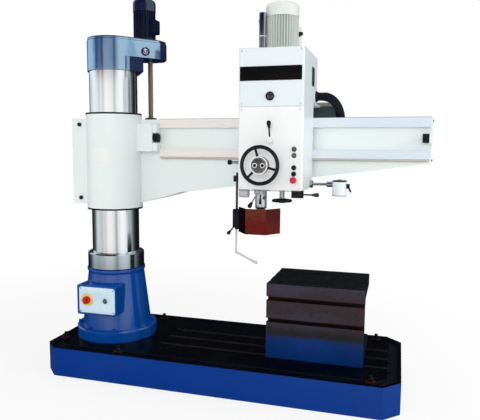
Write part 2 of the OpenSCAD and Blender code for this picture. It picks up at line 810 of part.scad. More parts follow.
// Head case with its shelf, quill sleeve and bores
case_back = -gap;
shelf_rise = 577;
shelf_top = head_low + shelf_rise;
shelf_t = 35;
quill_boss_d = 124;
quill_boss_h = 257;
chin_h = 18;
chin_d = 116;
stem_d = 20;
fine_in = 154;
fine_x = head_right - fine_in;
fine_y = -250;
motor_shaft_d = 28;
gear_hub_d = 60;
spline_room = 1;
vent_w = 30;
vent_h = 122;
vent_d = 8;
vent_y = -30;
vent_drop = 203;
vent_z = head_top - vent_drop;
module head_case() {
    inner_front = case_front - over;
    color("white") difference() {
        union() {
            difference() {
                union() {
                    slab([head_left, case_front, head_low], [head_right, case_back, head_top]);
                    slab([head_left, case_front, over_low], [head_right, head_over, head_top]);
                }
                slab([head_left + head_wall, inner_front, head_low + head_wall],
                    [head_right - head_wall, case_back - head_wall, head_top - head_wall]);
                slab([head_left + head_wall, case_back - head_wall - over, over_low + head_wall],
                    [head_right - head_wall, head_over - head_wall, head_top - head_wall]);
            }
            slab([head_left, case_front, shelf_top - shelf_t], [head_right, case_back, shelf_top]);
            zrod(spindle_pos, head_low - chin_h, head_low + quill_boss_h, quill_boss_d);
            zrod([fine_x, fine_y], head_low - chin_h, head_low + head_wall, 2 * stem_d);
        }
        zrod(spindle_pos, head_low - chin_h - over, head_low + quill_boss_h + over, quill_d + 2 * run);
        zrod(spindle_pos, shelf_top - shelf_t - over, shelf_top + over, gear_hub_d + 2 * run);
        zrod(spindle_pos, head_top - head_wall - over, head_top + over, spline_d + 2 * spline_room);
        zrod(motor_pos, shelf_top - shelf_t - over, shelf_top + over, motor_shaft_d + 2 * run);
        zrod(motor_pos, head_top - head_wall - over, head_top + over, motor_shaft_d + over);
        zrod([fine_x, fine_y], head_low - chin_h - over, head_low + head_wall + over, stem_d + 2 * run);
        yrod([wheel_x, wheel_z], case_front - over, case_back + over, shaft_d + 2 * run);
        slab([head_right - vent_d, vent_y - vent_w / 2, vent_z],
            [head_right + over, vent_y + vent_w / 2, vent_z + vent_h]);
        xrod([-spindle_y, knob_z], head_left - over, head_left + head_wall + over, side_shaft_d + 2 * run);
        xrod([lamp_y, lamp_z], head_right - head_wall / 2, head_right + over, lamp_rod_d + 2 * run);
        xrod([-spindle_y, rod_z], head_left - over, head_left + head_wall / 2, pipe_d + 2 * run);
    }
}
button_edge = 55;
button_x = head_right - button_edge;
button_up = 65;
button_low = head_low + button_up;
button_pitch = 38.5;
button_break = 75;
button_rises = [3 * button_pitch + button_break, 2 * button_pitch + button_break, 2 * button_pitch,
    button_pitch, 0];
bezel_h = 6;
bezel_w = 4;
wheel_boss_d = 88;
lever_x = head_left + head_w / 2;
lever_rise = 312;
lever_z = head_low + lever_rise;
lever_hub_d = 44;
pivot_d = 20;
module front_plate(low, high) {
    slab([head_left, case_front - panel_t + soft_r, low], [head_right, case_front, high]);
    slab([head_left + soft_r, -head_front, low], [head_right - soft_r, case_front, high]);
    for (x = [head_left + soft_r, head_right - soft_r])
        zrod([x, case_front - panel_t + soft_r], low, high, 2 * soft_r);
}
module button_places() {
    for (rise = button_rises) translate([button_x, 0, button_low + rise]) children();
}
module front_panel() {
    back = case_front + over;
    color("white") difference() {
        union() {
            intersection() {
                front_plate(head_low, panel_top);
                slab([head_left, -head_front - over, head_low], [head_right, case_front, panel_top]);
            }
            yrod([wheel_x, wheel_z], wheel_y + hub_back + gap, case_front, wheel_boss_d);
            button_places() yrod([0, 0], -head_front - bezel_h, case_front, button_d + 2 * bezel_w + 2 * gap);
        }
        yrod([wheel_x, wheel_z], wheel_y - over, back, shaft_d + 2 * run);
        button_places() yrod([0, 0], -head_front - over, back, button_d + 2 * gap);
        yrod([lever_x, lever_z], -head_front - over, back, pivot_d + 2 * run);
    }
}
module upper_cover() {
    color("white") intersection() {
        front_plate(panel_top, head_top);
        slab([head_left, -head_front - over, panel_top], [head_right, case_front, head_top]);
    }
}

// Main motor, gears and the spindle's cover tube
motor_fins = 36;
motor_flange_h = 18;
motor_term_turn = 60;
motor_term_out = 140;
motor_term_w = 96;
motor_term_low = 66;
motor_term_h = 124;
motor_bore_l = 70;
head_gear_rise = 15;
head_gear_low = shelf_top + head_gear_rise;
head_gear_h = 30;
module main_motor() {
    color("ivory") translate([motor_pos.x, motor_pos.y, head_top]) difference() {
        union() {
            zrod([0, 0], 0, motor_flange_h, motor_d + cowl_skirt);
            finned_body(motor_flange_h, motor_h, motor_d, motor_fins);
            rotate(motor_term_turn) soft_plate([0, -motor_term_w / 2, motor_term_low],
                [motor_term_out, motor_term_w / 2, motor_term_low + motor_term_h], soft_r);
        }
        zrod([0, 0], -over, motor_bore_l, motor_shaft_d + 2 * run);
    }
}
module motor_cowl() {
    color("ivory") translate([motor_pos.x, motor_pos.y, head_top + motor_h])
        cowl(motor_d + cowl_skirt, cowl_h);
}
module motor_gear() {
    color("silver") translate([motor_pos.x, motor_pos.y]) rotate(motor_turn + 180 + 180 / motor_teeth) {
        zrod([0, 0], shelf_top - shelf_t, head_top + motor_bore_l - gap, motor_shaft_d);
        spur(motor_teeth, gear_m, head_gear_low, head_gear_low + head_gear_h);
    }
}
module spindle_gear() {
    color("silver") translate([spindle_pos.x, spindle_pos.y]) difference() {
        union() {
            rotate(motor_turn) spur(spindle_teeth, gear_m, head_gear_low, head_gear_low + head_gear_h);
            zrod([0, 0], shelf_top - shelf_t, head_gear_low + head_gear_h, gear_hub_d);
            zrod([0, 0], shelf_top + gap, head_gear_low, gear_hub_d + over);
        }
        zrod([0, 0], shelf_top - shelf_t - over, head_gear_low + head_gear_h + over, spline_d + 2 * run);
    }
}
tube_foot_d = 62;
tube_foot_h = 10;
tube_ring_low = 190;
tube_ring_h = 14;
tube_ring_d = 54;
module spindle_tube() {
    color("navy") translate([spindle_pos.x, spindle_pos.y, head_top]) difference() {
        union() {
            zrod([0, 0], 0, tube_h, tube_d);
            zrod([0, 0], 0, tube_foot_h, tube_foot_d);
            zrod([0, 0], tube_ring_low, tube_ring_low + tube_ring_h, tube_ring_d);
        }
        zrod([0, 0], -over, tube_h - tube_foot_h, spline_d + 2 * spline_room);
    }
}

// Quill, spindle and bearings
quill_low = head_low - quill_drop;
quill_high = quill_low + quill_l;
spindle_low = quill_low - gap - nose_l;
spindle_bearing_d = 62;
spindle_bearing_h = 25;
taper_l = 80;
drift_w = 12;
drift_h = 30;
spindle_top_room = 25;
journal_room = 1;
module quill() {
    color("silver") translate(spindle_pos) difference() {
        zrod([0, 0], quill_low, quill_high, quill_d);
        zrod([0, 0], quill_low - over, quill_high + over, journal_d + 2 * journal_room);
        for (z = [quill_low, quill_high - spindle_bearing_h])
            zrod([0, 0], z, z + spindle_bearing_h, spindle_bearing_d);
    }
}
module spindle_bearings() {
    color("goldenrod") translate(spindle_pos) for (z = [quill_low, quill_high - spindle_bearing_h])
        ring(z, z + spindle_bearing_h, spindle_bearing_d, journal_d + 2 * run);
}
module spindle() {
    color("lightgray") translate(spindle_pos) difference() {
        union() {
            zrod([0, 0], spindle_low, quill_low - gap, nose_d);
            zrod([0, 0], spindle_low, quill_high, journal_d);
            zrod([0, 0], spindle_low, head_top + tube_h - tube_foot_h - spindle_top_room, spline_d);
        }
        translate([0, 0, spindle_low]) cylinder(h = taper_l, d1 = taper_d, d2 = taper_small_d);
        zrod([0, 0], spindle_low - over, spindle_low + run, taper_d);
        slab([-drift_w / 2, -nose_d, spindle_low + taper_l - drift_h],
            [drift_w / 2, nose_d, spindle_low + taper_l]);
    }
}

// Traverse handwheel on its hollow hub, with two push-buttons, and the shaft with its pinion
hub_back = 30;
hub_front = 24;
rim_d = 24;
spoke_d = 16;
spokes = 3;
spoke_turn = 105;
hub_button_d = 18;
hub_button_off = 24;
hub_button_deep = 20;
pinion_face = 22;
module traverse_wheel() {
    color("dimgray") translate([wheel_x, wheel_y, wheel_z]) difference() {
        union() {
            rotate([90, 0, 0]) rotate_extrude() translate([(wheel_d - rim_d) / 2, 0]) circle(d = rim_d);
            yrod([0, 0], -hub_front, hub_back, hub_d);
            for (i = [0 : spokes - 1]) rotate([0, -spoke_turn - i * 360 / spokes, 0])
                xrod([0, 0], 0, (wheel_d - rim_d) / 2, spoke_d);
        }
        yrod([0, 0], 0, hub_back + over, shaft_d);
        for (s = [-1, 1]) yrod([s * hub_button_off, 0], -hub_front - over, -hub_front + hub_button_deep,
            hub_button_d + 2 * gap);
    }
}
module traverse_shaft() {
    color("silver") translate([wheel_x, 0, wheel_z]) {
        yrod([0, 0], wheel_y, rack_face_in + pinion_face, shaft_d);
        rotate([90, 0, 0]) rotate(90) spur(pinion_teeth, rack_m, -rack_face_in - pinion_face, -rack_face_in);
    }
}
hub_button_out = 5;
hub_button_rest = 9;
module hub_button(s) {
    translate([wheel_x, wheel_y, wheel_z]) yrod([s * hub_button_off, 0], -hub_front - hub_button_out,
        -hub_front + hub_button_deep - hub_button_rest, hub_button_d);
}
module clamp_button() { color("white") hub_button(-1); }
module unclamp_button() { color("white") hub_button(1); }

// Panel buttons and levers
button_out = 10;
button_in = 6;
mushroom_d = 40;
mushroom_h = 14;
module panel_button(i) {
    translate([button_x, 0, button_low + button_rises[i]])
        yrod([0, 0], -head_front - bezel_h - button_out, case_front + button_in, button_d);
}
module lift_up_button() { color("black") panel_button(0); }
module lift_down_button() { color("green") panel_button(1); }
module start_button() { color("black") panel_button(2); }
module stop_button() { color("black") panel_button(3); }
module emergency_stop() {
    face = -head_front - bezel_h - button_out;
    color("red") {
        panel_button(4);
        translate([button_x, 0, button_low + button_rises[4]])
            yrod([0, 0], face - mushroom_h, face, mushroom_d);
    }
}
// A straight rod between two points, and a lever whose rod ends inside a pear-shaped grip, drawn from
// shares of the grip's diameter and length
grip_form = [[0.25, 0], [0.42, 0.55], [0.5, 0.85], [0.47, 1.05], [0.3, 1.2], [0, 1.25], [0, 0]];
module aimed(a, b) {
    v = b - a;
    translate(a) rotate([0, acos(v.z / norm(v)), atan2(v.y, v.x)]) children();
}
module rod_between(a, b, d) { aimed(a, b) cylinder(h = norm(b - a), d = d); }
module lever_to(a, b, d, grip_d, grip_l) {
    reach = norm(b - a);
    aimed(a, b) {
        cylinder(h = reach + grip_l / 2, d = d);
        translate([0, 0, reach]) rotate_extrude() polygon([for (p = grip_form) [p.x * grip_d, p.y * grip_l]]);
    }
}
shift_rise = 72;
shift_lean = 24;
shift_grip_l = 38;
shift_hub_h = 22;
module shift_lever() {
    root = [lever_x, -head_front - shift_hub_h / 2, lever_z];
    tip = root + [0, -shift_lean, shift_rise];
    color("black") {
        yrod([lever_x, lever_z], -head_front - shift_hub_h, -head_front - gap, lever_hub_d);
        yrod([lever_x, lever_z], -head_front - shift_hub_h, case_front + button_in, pivot_d);
        lever_to(root, tip, lever_d, knob_d, shift_grip_l);
    }
}
// Start lever in a forked housing under the head's right end
start_y = -250;
start_in = 89;
start_left = head_right - start_in;
start_w = 72;
start_deep = 44;
start_h = 56;
start_fork = 22;
start_pin_d = 12;
start_pin_drop = 34;
start_z = head_low - start_pin_drop;
start_reach = 72;
start_pin_in = 16;
start_pin_x = start_left + start_w - start_pin_in;
module start_housing() {
    color("silver") difference() {
        slab([start_left, start_y - start_deep / 2, head_low - start_h],
            [start_left + start_w, start_y + start_deep / 2, head_low]);
        slab([start_left + start_w / 2, start_y - start_fork / 2, head_low - start_h - over],
            [start_left + start_w + over, start_y + start_fork / 2, head_low - start_h / 6]);
        yrod([start_pin_x, start_z], start_y - start_deep, start_y + start_deep, start_pin_d + 2 * run);
    }
}
module start_lever() {
    root = [start_pin_x, start_y, start_z];
    tip = root + [start_reach, 0, 0];
    color("black") {
        yrod([start_pin_x, start_z], start_y - start_fork / 2 + gap, start_y + start_fork / 2 - gap,
            2 * start_pin_d);
        yrod([start_pin_x, start_z], start_y - start_deep / 2, start_y + start_deep / 2, start_pin_d);
        lever_to(root, tip, lever_d, knob_d, shift_grip_l);
    }
}
// Feed lever before and quill lock lever behind a block under the head's front, and the feed's stop housing
block_y = -320;
block_off = 20;
block_x = spindle_x + block_off;
block_w = 60;
block_deep = 40;
block_h = 34;
block_pin_d = 12;
block_pin_drop = 17;
block_z = head_low - block_pin_drop;
small_hub_d = 24;
small_hub_h = 14;
small_rod_d = 8;
stop_d = 56;
stop_l = 59;
stop_w = 40;
stop_y = -335;
module lever_block() {
    color("silver") {
        difference() {
            slab([block_x - block_w / 2, block_y - block_deep / 2, head_low - block_h],
                [block_x + block_w / 2, block_y + block_deep / 2, head_low]);
            yrod([block_x, block_z], block_y - block_deep, block_y + block_deep, block_pin_d + 2 * run);
        }
        xrod([stop_y, head_low - stop_d / 2], head_left + gap, head_left + gap + stop_l, stop_d);
        slab([head_left + gap, stop_y - stop_w / 2, head_low - stop_d / 2],
            [head_left + gap + stop_l, stop_y + stop_w / 2, head_low]);
    }
}
// side is -1 before the block and 1 behind it, lean the lever's angle from straight down
module small_lever(side, lean, reach, grip_d, grip_l) {
    hub_from = block_y + side * (block_deep / 2 + gap);
    hub_to = hub_from + side * small_hub_h;
    pin_to = block_y + side * gap;
    root = [block_x, (hub_from + hub_to) / 2, block_z];
    tip = root + reach * [sin(lean), 0, -cos(lean)];
    yrod([block_x, block_z], min(hub_from, hub_to), max(hub_from, hub_to), small_hub_d);
    yrod([block_x, block_z], min(pin_to, hub_to), max(pin_to, hub_to), block_pin_d);
    lever_to(root, tip, small_rod_d, grip_d, grip_l);
}
feed_lean = -31;
feed_reach = 78;
feed_grip_l = 34;
lock_reach = 46;
lock_grip_d = 18;
lock_grip_l = 32;
module feed_lever() { color("black") small_lever(-1, feed_lean, feed_reach, knob_d, feed_grip_l); }
module quill_lock_lever() { color("black") small_lever(1, 0, lock_reach, lock_grip_d, lock_grip_l); }
// Fine-feed handwheel under the head, on an upright stem
fine_drop = 76;
fine_rim_d = 18;
fine_hub_d = 40;
fine_hub_h = 30;
stem_in = 12;
module fine_feed_wheel() {
    color("dimgray") translate([fine_x, fine_y, head_low - fine_drop]) {
        rotate_extrude() translate([(fine_d - fine_rim_d) / 2, 0]) circle(d = fine_rim_d);
        zrod([0, 0], -fine_hub_h / 2, fine_hub_h / 2, fine_hub_d);
        for (i = [0 : spokes - 1]) rotate(i * 360 / spokes)
            xrod([0, 0], 0, (fine_d - fine_rim_d) / 2, fine_rim_d / 2);
        zrod([0, 0], 0, fine_drop + head_wall + stem_in, stem_d);
        zrod([0, 0], fine_hub_h / 2, fine_drop - chin_h - gap, stem_d + stem_in);
    }
}
// Pull knob on the head's left side
side_shaft_d = 16;
side_stalk = 95;
side_root_d = 26;
side_skin = 1;
side_knob_d = 32;
knob_rise = 165;
knob_z = head_low + knob_rise;
knob_travel = 15;
module side_knob() {
    color("silver") {
        xrod([-spindle_y, knob_z], head_left - side_stalk, head_left + head_wall + knob_travel, side_shaft_d);
        translate([head_left - knob_travel / 3, -spindle_y, knob_z]) rotate([0, -90, 0])
            cylinder(h = side_stalk * 2 / 3, d1 = side_root_d, d2 = side_shaft_d + 2 * side_skin);
        translate([head_left - side_stalk, -spindle_y, knob_z]) rotate([0, -90, 0]) {
            cylinder(h = side_knob_d / 4, d1 = side_shaft_d, d2 = side_knob_d);
            translate([0, 0, side_knob_d / 4]) cylinder(h = side_knob_d * 2 / 3, d = side_knob_d);
        }
    }
}

// Guard: a folded screen that swings on an upright rod beside the head
rod_off = 61;
rod_x = head_left - rod_off;
rod_rise = 57;
rod_z = head_low + rod_rise;
guard_drop = 302;
guard_low = head_low - guard_drop;
guard_box_rise = 27;
guard_box_h = 125;
guard_box_w = 46;
rod_stop_h = 12;
rod_stop_d = 26;
bracket_h = 40;
module guard_rod() {
    stop = guard_low + guard_box_rise - gap;
    color("gray") {
        zrod([rod_x, -spindle_y], stop - rod_stop_h, rod_z + bracket_h, rod_d);
        zrod([rod_x, -spindle_y], stop - rod_stop_h, stop, rod_stop_d);
        slab([rod_x - bracket_h / 2, -spindle_y - bracket_h / 2, rod_z - bracket_h / 2],
            [head_left, -spindle_y + bracket_h / 2, rod_z + bracket_h / 2]);
        xrod([-spindle_y, rod_z], head_left - over, head_left + head_wall / 2 - gap, pipe_d);
    }
}
screen_start = 18;
fold_share = 0.255;
guard_knob_rise = 35;
guard_knob_step = [-28, 0, -34];
guard_knob_d = 26;
guard_knob_l = 24;
module guard() {
    x0 = screen_start;
    x1 = x0 + guard_w;
    fold = guard_w * fold_share;
    t = guard_t;
    knob_root = [-guard_box_w / 2 + lever_d / 2, 0, guard_knob_rise];
    knob_tip = knob_root + guard_knob_step;
    color("indianred") translate([rod_x, -spindle_y, guard_low]) difference() {
        union() {
            slab([-guard_box_w / 2, -guard_box_w / 2, guard_box_rise],
                [guard_box_w / 2, guard_box_w / 2, guard_box_rise + guard_box_h]);
            linear_extrude(guard_h) polygon([[x0 - t, 0], [x0 - t, -t], [x0 + fold, -guard_depth],
                [x1 - fold, -guard_depth], [x1, -t], [x1, 0], [x1 - t, 0], [x1 - t, -t],
                [x1 - fold - t, -guard_depth + t], [x0 + fold + t, -guard_depth + t], [x0 + t, -t],
                [x0 + t, 0]]);
            lever_to(knob_root, knob_tip, lever_d, guard_knob_d, guard_knob_l);
        }
        zrod([0, 0], -over, guard_box_rise + guard_box_h + over, rod_d + 2 * run);
    }
}
// Coolant pipe: a fitting on the head's left side, an upright run and a slanted nozzle
pipe_off = 91;
pipe_x = head_left - pipe_off;
pipe_y = -100;
pipe_drop = 463;
pipe_low = head_low - pipe_drop;
pipe_rise = 40;
pipe_z = head_low + pipe_rise;
elbow_rim = 2;
nozzle_l = 40;
nozzle_d = 20;
fitting_d = 26;
nozzle_step = [-36, 40, -57];
nozzle_at = [spindle_x, -spindle_y, pipe_low] + nozzle_step;
module coolant_pipe() {
    elbow_d = pipe_d + 2 * elbow_rim;
    low = [pipe_x, pipe_y, pipe_low];
    v = nozzle_at - low;
    color("gainsboro") {
        xrod([pipe_y, pipe_z], pipe_x, head_left, pipe_d);
        xrod([pipe_y, pipe_z], head_left - fitting_d, head_left, fitting_d);
        translate([pipe_x, pipe_y, pipe_z]) sphere(d = elbow_d);
        zrod([pipe_x, pipe_y], pipe_low, pipe_z, pipe_d);
        translate(low) sphere(d = elbow_d);
        rod_between(low, nozzle_at, pipe_d);
        rod_between(nozzle_at - v * nozzle_l / norm(v), nozzle_at, nozzle_d);
    }
}
// Work lamp on a bracket rod at the head's right side
lamp_y = -80;
lamp_up = 26;
lamp_z = head_low + lamp_up;
lamp_rod_d = 18;
lamp_off = 195;
lamp_x = head_right + lamp_off;
lamp_knuckle_l = 36;
lamp_plate_d = 50;
lamp_rise = 25;
lamp_wall = 3;
lamp_top_t = 8;
lamp_handle_w = 22;
lamp_handle_out = 20;
lamp_handle_h = 30;
lamp_handle_low = 50;
lamp_prong_d = 12;
lamp_prong_step = [15, 0, -30];
module lamp_bracket() {
    color("gray") {
        xrod([lamp_y, lamp_z], head_right - head_wall / 2 + gap, lamp_x - lamp_d / 2 - gap, lamp_rod_d);
        xrod([lamp_y, lamp_z], head_right, head_right + lamp_rod_d, lamp_plate_d);
    }
}
module lamp_shade() {
    top = lamp_z + lamp_rise;
    edge = lamp_x - lamp_d / 2;
    far = lamp_x + lamp_d / 2;
    low = top - lamp_handle_low;
    prong = [far + lamp_handle_out - lamp_prong_d / 2, lamp_y, low + lamp_prong_d / 2];
    color("white") {
        difference() {
            union() {
                zrod([lamp_x, lamp_y], top - lamp_h, top, lamp_d);
                xrod([lamp_y, lamp_z], edge - lamp_knuckle_l, lamp_x - lamp_d / 4, 2 * lamp_rod_d);
            }
            zrod([lamp_x, lamp_y], top - lamp_h - over, top - 2 * lamp_rise, lamp_d - 2 * lamp_wall);
            xrod([lamp_y, lamp_z], edge - lamp_knuckle_l - over, edge, lamp_rod_d + 2 * run);
        }
        slab([far - lamp_wall, lamp_y - lamp_handle_w / 2, low],
            [far + lamp_handle_out, lamp_y + lamp_handle_w / 2, low + lamp_handle_h]);
        rod_between(prong, prong + lamp_prong_step, lamp_prong_d);
    }
}

// Junction unit behind the arm, carried on a plate from the head, and the ribbed conduit into it
unit_in = 54;
unit_left = head_right - unit_in;
unit_w = 169;
unit_foot_w = 250;
unit_room = 15;
unit_front = arm_back + unit_room;
unit_deep = 135;
unit_drop = 180;
unit_low = arm_top - unit_drop;
unit_foot_h = 110;
unit_rise = 98;
unit_high = arm_top + unit_rise;
plate_h = 15;
plate_w = 120;
module rear_unit() {
    color("darkslategray") {
        soft_box([unit_left, unit_front, unit_low],
            [unit_left + unit_w, unit_front + unit_deep, unit_high], soft_r);
        soft_box([unit_left, unit_front, unit_low], [unit_left + unit_foot_w, unit_front + unit_deep,
            unit_low + unit_foot_h], soft_r);
        slab([head_right - plate_w, head_over / 2, over_low - run - plate_h], [head_right, unit_front + over,
            over_low - run]);
    }
}
conduit_y = 100;
conduit_rise = 149;
conduit_z = arm_top + conduit_rise;
conduit_lead = 50;
conduit_swell = 70;
conduit_drop = 120;
conduit_in = 48;
conduit_ribs = 52;
conduit_wall = 3;
rib_depth = 3;
rib_sides = 8;
conduit_from = [head_right, conduit_y, conduit_z];
conduit_to = [unit_left + unit_foot_w - conduit_in, unit_front + unit_deep / 2, unit_low + unit_foot_h];
conduit_knots = [conduit_from, conduit_from + [conduit_lead, 0, 0],
    conduit_from + [conduit_lead + conduit_swell, 0, 0], conduit_to + [0, 0, conduit_lead + conduit_drop],
    conduit_to + [0, 0, conduit_lead], conduit_to];
// The run is straight, curved and straight again, each with its share of the ribs
straight_share = 0.1;
function cubic(a, b, c, d, t) = (1 - t) * (1 - t) * (1 - t) * a + 3 * t * (1 - t) * (1 - t) * b
    + 3 * t * t * (1 - t) * c + t * t * t * d;
function conduit_at(s) = let (k = conduit_knots, e = straight_share)
    s < e ? k[0] + (k[1] - k[0]) * s / e
    : s > 1 - e ? k[4] + (k[5] - k[4]) * (s - 1 + e) / e
    : cubic(k[1], k[2], k[3], k[4], (s - e) / (1 - 2 * e));
function unit(v) = v / norm(v);
conduit_nudge_share = 0.001;
function conduit_dir(s) = let (n = conduit_nudge_share)
    unit(conduit_at(min(1, s + n)) - conduit_at(max(0, s - n)));
module conduit() {
    rings = 2 * conduit_ribs;
    outer = [for (i = [0 : rings]) [i / rings, conduit_d / 2 - (i % 2) * rib_depth]];
    inner = [for (i = [0 : conduit_ribs]) [1 - i / conduit_ribs, conduit_d / 2 - rib_depth - conduit_wall]];
    all = concat(outer, inner);
    n = len(all);
    aim = [1, -1, 1];
    points = [for (r = all) let (d = conduit_dir(r[0]), side = unit(cross(d, aim)), up = cross(side, d))
        for (j = [0 : rib_sides - 1]) let (a = j * 360 / rib_sides)
            conduit_at(r[0]) + r[1] * (cos(a) * side + sin(a) * up)];
    faces = [for (i = [0 : n - 1], j = [0 : rib_sides - 1], f = [0, 1])
        let (a = i * rib_sides, b = ((i + 1) % n) * rib_sides, k = (j + 1) % rib_sides)
        f == 0 ? [a + j, b + k, b + j] : [a + j, a + k, b + k]];
    color("black") polyhedron(points, faces);
}

// Box table: a casting with slotted top and front, open ends and back, and ribs inside
table_right = table_left + table_l;
table_back = -table_front + table_depth;
window_corner = 40;
window_low = 60;
table_ribs = 2;
table_rib = 40;
module box_table() {
    wide = table_depth - table_wall + over;
    high = table_h - table_top_t - window_low;
    bay = (table_l - table_ribs * table_rib) / (table_ribs + 1);
    c = window_corner;
    color("dimgray") difference() {
        slab([table_left, -table_front, base_h], [table_right, table_back, table_top]);
        for (i = [0 : table_ribs]) {
            from = i == 0 ? -over : i * (bay + table_rib);
            to = i == table_ribs ? table_l + over : i * (bay + table_rib) + bay;
            translate([table_left + from, -table_front + table_wall, base_h + window_low]) rotate([90, 0, 90])
                linear_extrude(to - from) polygon([[c, 0], [wide, 0], [wide, high], [c, high],
                    [0, high - c], [0, c]]);
        }
        translate([table_left - over, (table_back - table_front) / 2, table_top]) for (i = [-1 : 1])
            translate([0, i * table_slot_pitch, 0]) t_slot(table_l + 2 * over, 0);
        translate([table_left - over, -table_front, base_h + front_slot_low]) for (i = [0, 1])
            translate([0, 0, i * front_slot_pitch]) rotate([90, 0, 0]) t_slot(table_l + 2 * over, 0);
    }
}

base_plate();
anchor_bolts();
pedestal();
pedestal_bolts();
inner_column();
column_bearings();
switch_box();
main_switch_knob();
power_button();
box_table();
column_sleeve();
lift_gearbox();
gearbox_lid();
lift_motor();
lift_motor_cowl();
lift_screw();
lift_pinion();
arm_casting();
guide_rails();
traverse_rack();
arm_seals();
clamp_bolts();
lift_nut();
arm_bumpers();
arm_end_cover();
head_case();
front_panel();
upper_cover();
main_motor();
motor_cowl();
motor_gear();
spindle_gear();
spindle_tube();
rear_unit();
conduit();
guard_rod();
coolant_pipe();
lamp_bracket();
start_housing();
lever_block();
traverse_wheel();
traverse_shaft();
clamp_button();
unclamp_button();
quill();
spindle();
spindle_bearings();
fine_feed_wheel();
shift_lever();
start_lever();
feed_lever();
quill_lock_lever();
side_knob();
lift_up_button();
lift_down_button();
start_button();
stop_button();
emergency_stop();
guard();
lamp_shade();
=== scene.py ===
from math import acos, atan2, cos, hypot, pi, radians, sin, tan

import bmesh
import bpy
from mathutils import Matrix, Vector


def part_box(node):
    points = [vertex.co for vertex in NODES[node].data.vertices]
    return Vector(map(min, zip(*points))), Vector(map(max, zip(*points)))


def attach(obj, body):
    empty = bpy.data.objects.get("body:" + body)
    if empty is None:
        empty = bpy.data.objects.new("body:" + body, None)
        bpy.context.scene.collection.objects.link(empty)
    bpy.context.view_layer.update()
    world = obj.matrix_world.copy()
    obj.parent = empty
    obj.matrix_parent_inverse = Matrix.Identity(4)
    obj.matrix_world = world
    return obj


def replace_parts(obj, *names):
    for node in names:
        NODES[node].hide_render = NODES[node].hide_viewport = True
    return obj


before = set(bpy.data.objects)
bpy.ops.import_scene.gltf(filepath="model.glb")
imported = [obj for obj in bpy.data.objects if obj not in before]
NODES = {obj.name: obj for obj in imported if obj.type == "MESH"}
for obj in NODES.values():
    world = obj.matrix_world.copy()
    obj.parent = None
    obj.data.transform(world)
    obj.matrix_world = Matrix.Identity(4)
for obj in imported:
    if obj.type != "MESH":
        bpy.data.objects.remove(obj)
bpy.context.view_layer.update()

SCENE = bpy.context.scene
SCENE.view_settings.view_transform = "Standard"
MM = 0.001
move = Matrix.Translation


# Colours are written as the eye sees them, on a 0 to 255 scale, and turned into linear light
def rgb(r, g, b):
    def linear(c):
        c /= 255
        return c / 12.92 if c <= 0.04045 else ((c + 0.055) / 1.055) ** 2.4
    return (linear(r), linear(g), linear(b), 1.0)


def scaled(colour, share, lift=0.0):
    return tuple(min(1.0, c * share + lift) for c in colour[:3]) + (1.0,)


# A node tree under construction, with short ways to add nodes
class Tree:
    def __init__(self, tree):
        self.tree = tree

    def add(self, kind, **props):
        node = self.tree.nodes.new("ShaderNode" + kind)
        for key, value in props.items():
            setattr(node, key, value)
        return node

    def join(self, source, target):
        if isinstance(source, bpy.types.NodeSocket):
            self.tree.links.new(source, target)
        else:
            target.default_value = source

    def put(self, node, **sockets):
        for key, value in sockets.items():
            self.join(value, node.inputs[key.replace("_", " ")])
        return node

    def span(self, value, low, high, to_low=0.0, to_high=1.0):
        node = self.add("MapRange", interpolation_type="SMOOTHSTEP")
        return self.put(node, Value=value, From_Min=low, From_Max=high,
                        To_Min=to_low, To_Max=to_high).outputs["Result"]

    def math(self, how, a, b=0.0):
        node = self.add("Math", operation=how)
        self.join(a, node.inputs[0])
        self.join(b, node.inputs[1])
        return node.outputs["Value"]

    def blend(self, factor, a, b, how="MIX"):
        node = self.add("Mix", data_type="RGBA", blend_type=how)
        self.join(factor, node.inputs["Factor"])
        self.join(a, node.inputs[6])
        self.join(b, node.inputs[7])
        return node.outputs[2]

    def split(self, vector):
        return self.put(self.add("SeparateXYZ"), Vector=vector).outputs


# A material: its shader, its own coordinates in metres, noise, soft edges and bump
class Look(Tree):
    def __init__(self, name):
        self.mat = bpy.data.materials.new(name)
        self.mat.use_nodes = True
        super().__init__(self.mat.node_tree)
        self.shader = self.tree.nodes["Principled BSDF"]
        self.coord = self.add("TexCoord").outputs["Object"]

    def noise(self, scale, detail=3.0, stretch=(1, 1, 1), shift=0.0):
        place = self.put(self.add("Mapping"), Vector=self.coord, Scale=stretch,
                         Location=(shift,) * 3).outputs["Vector"]
        return self.put(self.add("TexNoise"), Vector=place, Scale=scale,
                        Detail=detail).outputs["Fac"]

    # Edges rubbed toward a colour: the soft normal and the new base colour
    def rubbed(self, base, radius, share, colour):
        soft = self.put(self.add("Bevel", samples=4), Radius=radius).outputs["Normal"]
        dot = self.add("VectorMath", operation="DOT_PRODUCT")
        self.join(soft, dot.inputs[0])
        self.join(self.add("NewGeometry").outputs["Normal"], dot.inputs[1])
        edge = self.span(dot.outputs["Value"], 0.8, 0.99, 1.0, 0.0)
        return soft, self.blend(self.math("MULTIPLY", edge, share), base, colour)

    def bump(self, height, strength, distance, normal=None):
        node = self.put(self.add("Bump"), Strength=strength, Distance=distance, Height=height)
        if normal is not None:
            self.put(node, Normal=normal)
        return node.outputs["Normal"]

    def done(self, **sockets):
        self.put(self.shader, **sockets)
        return self.mat


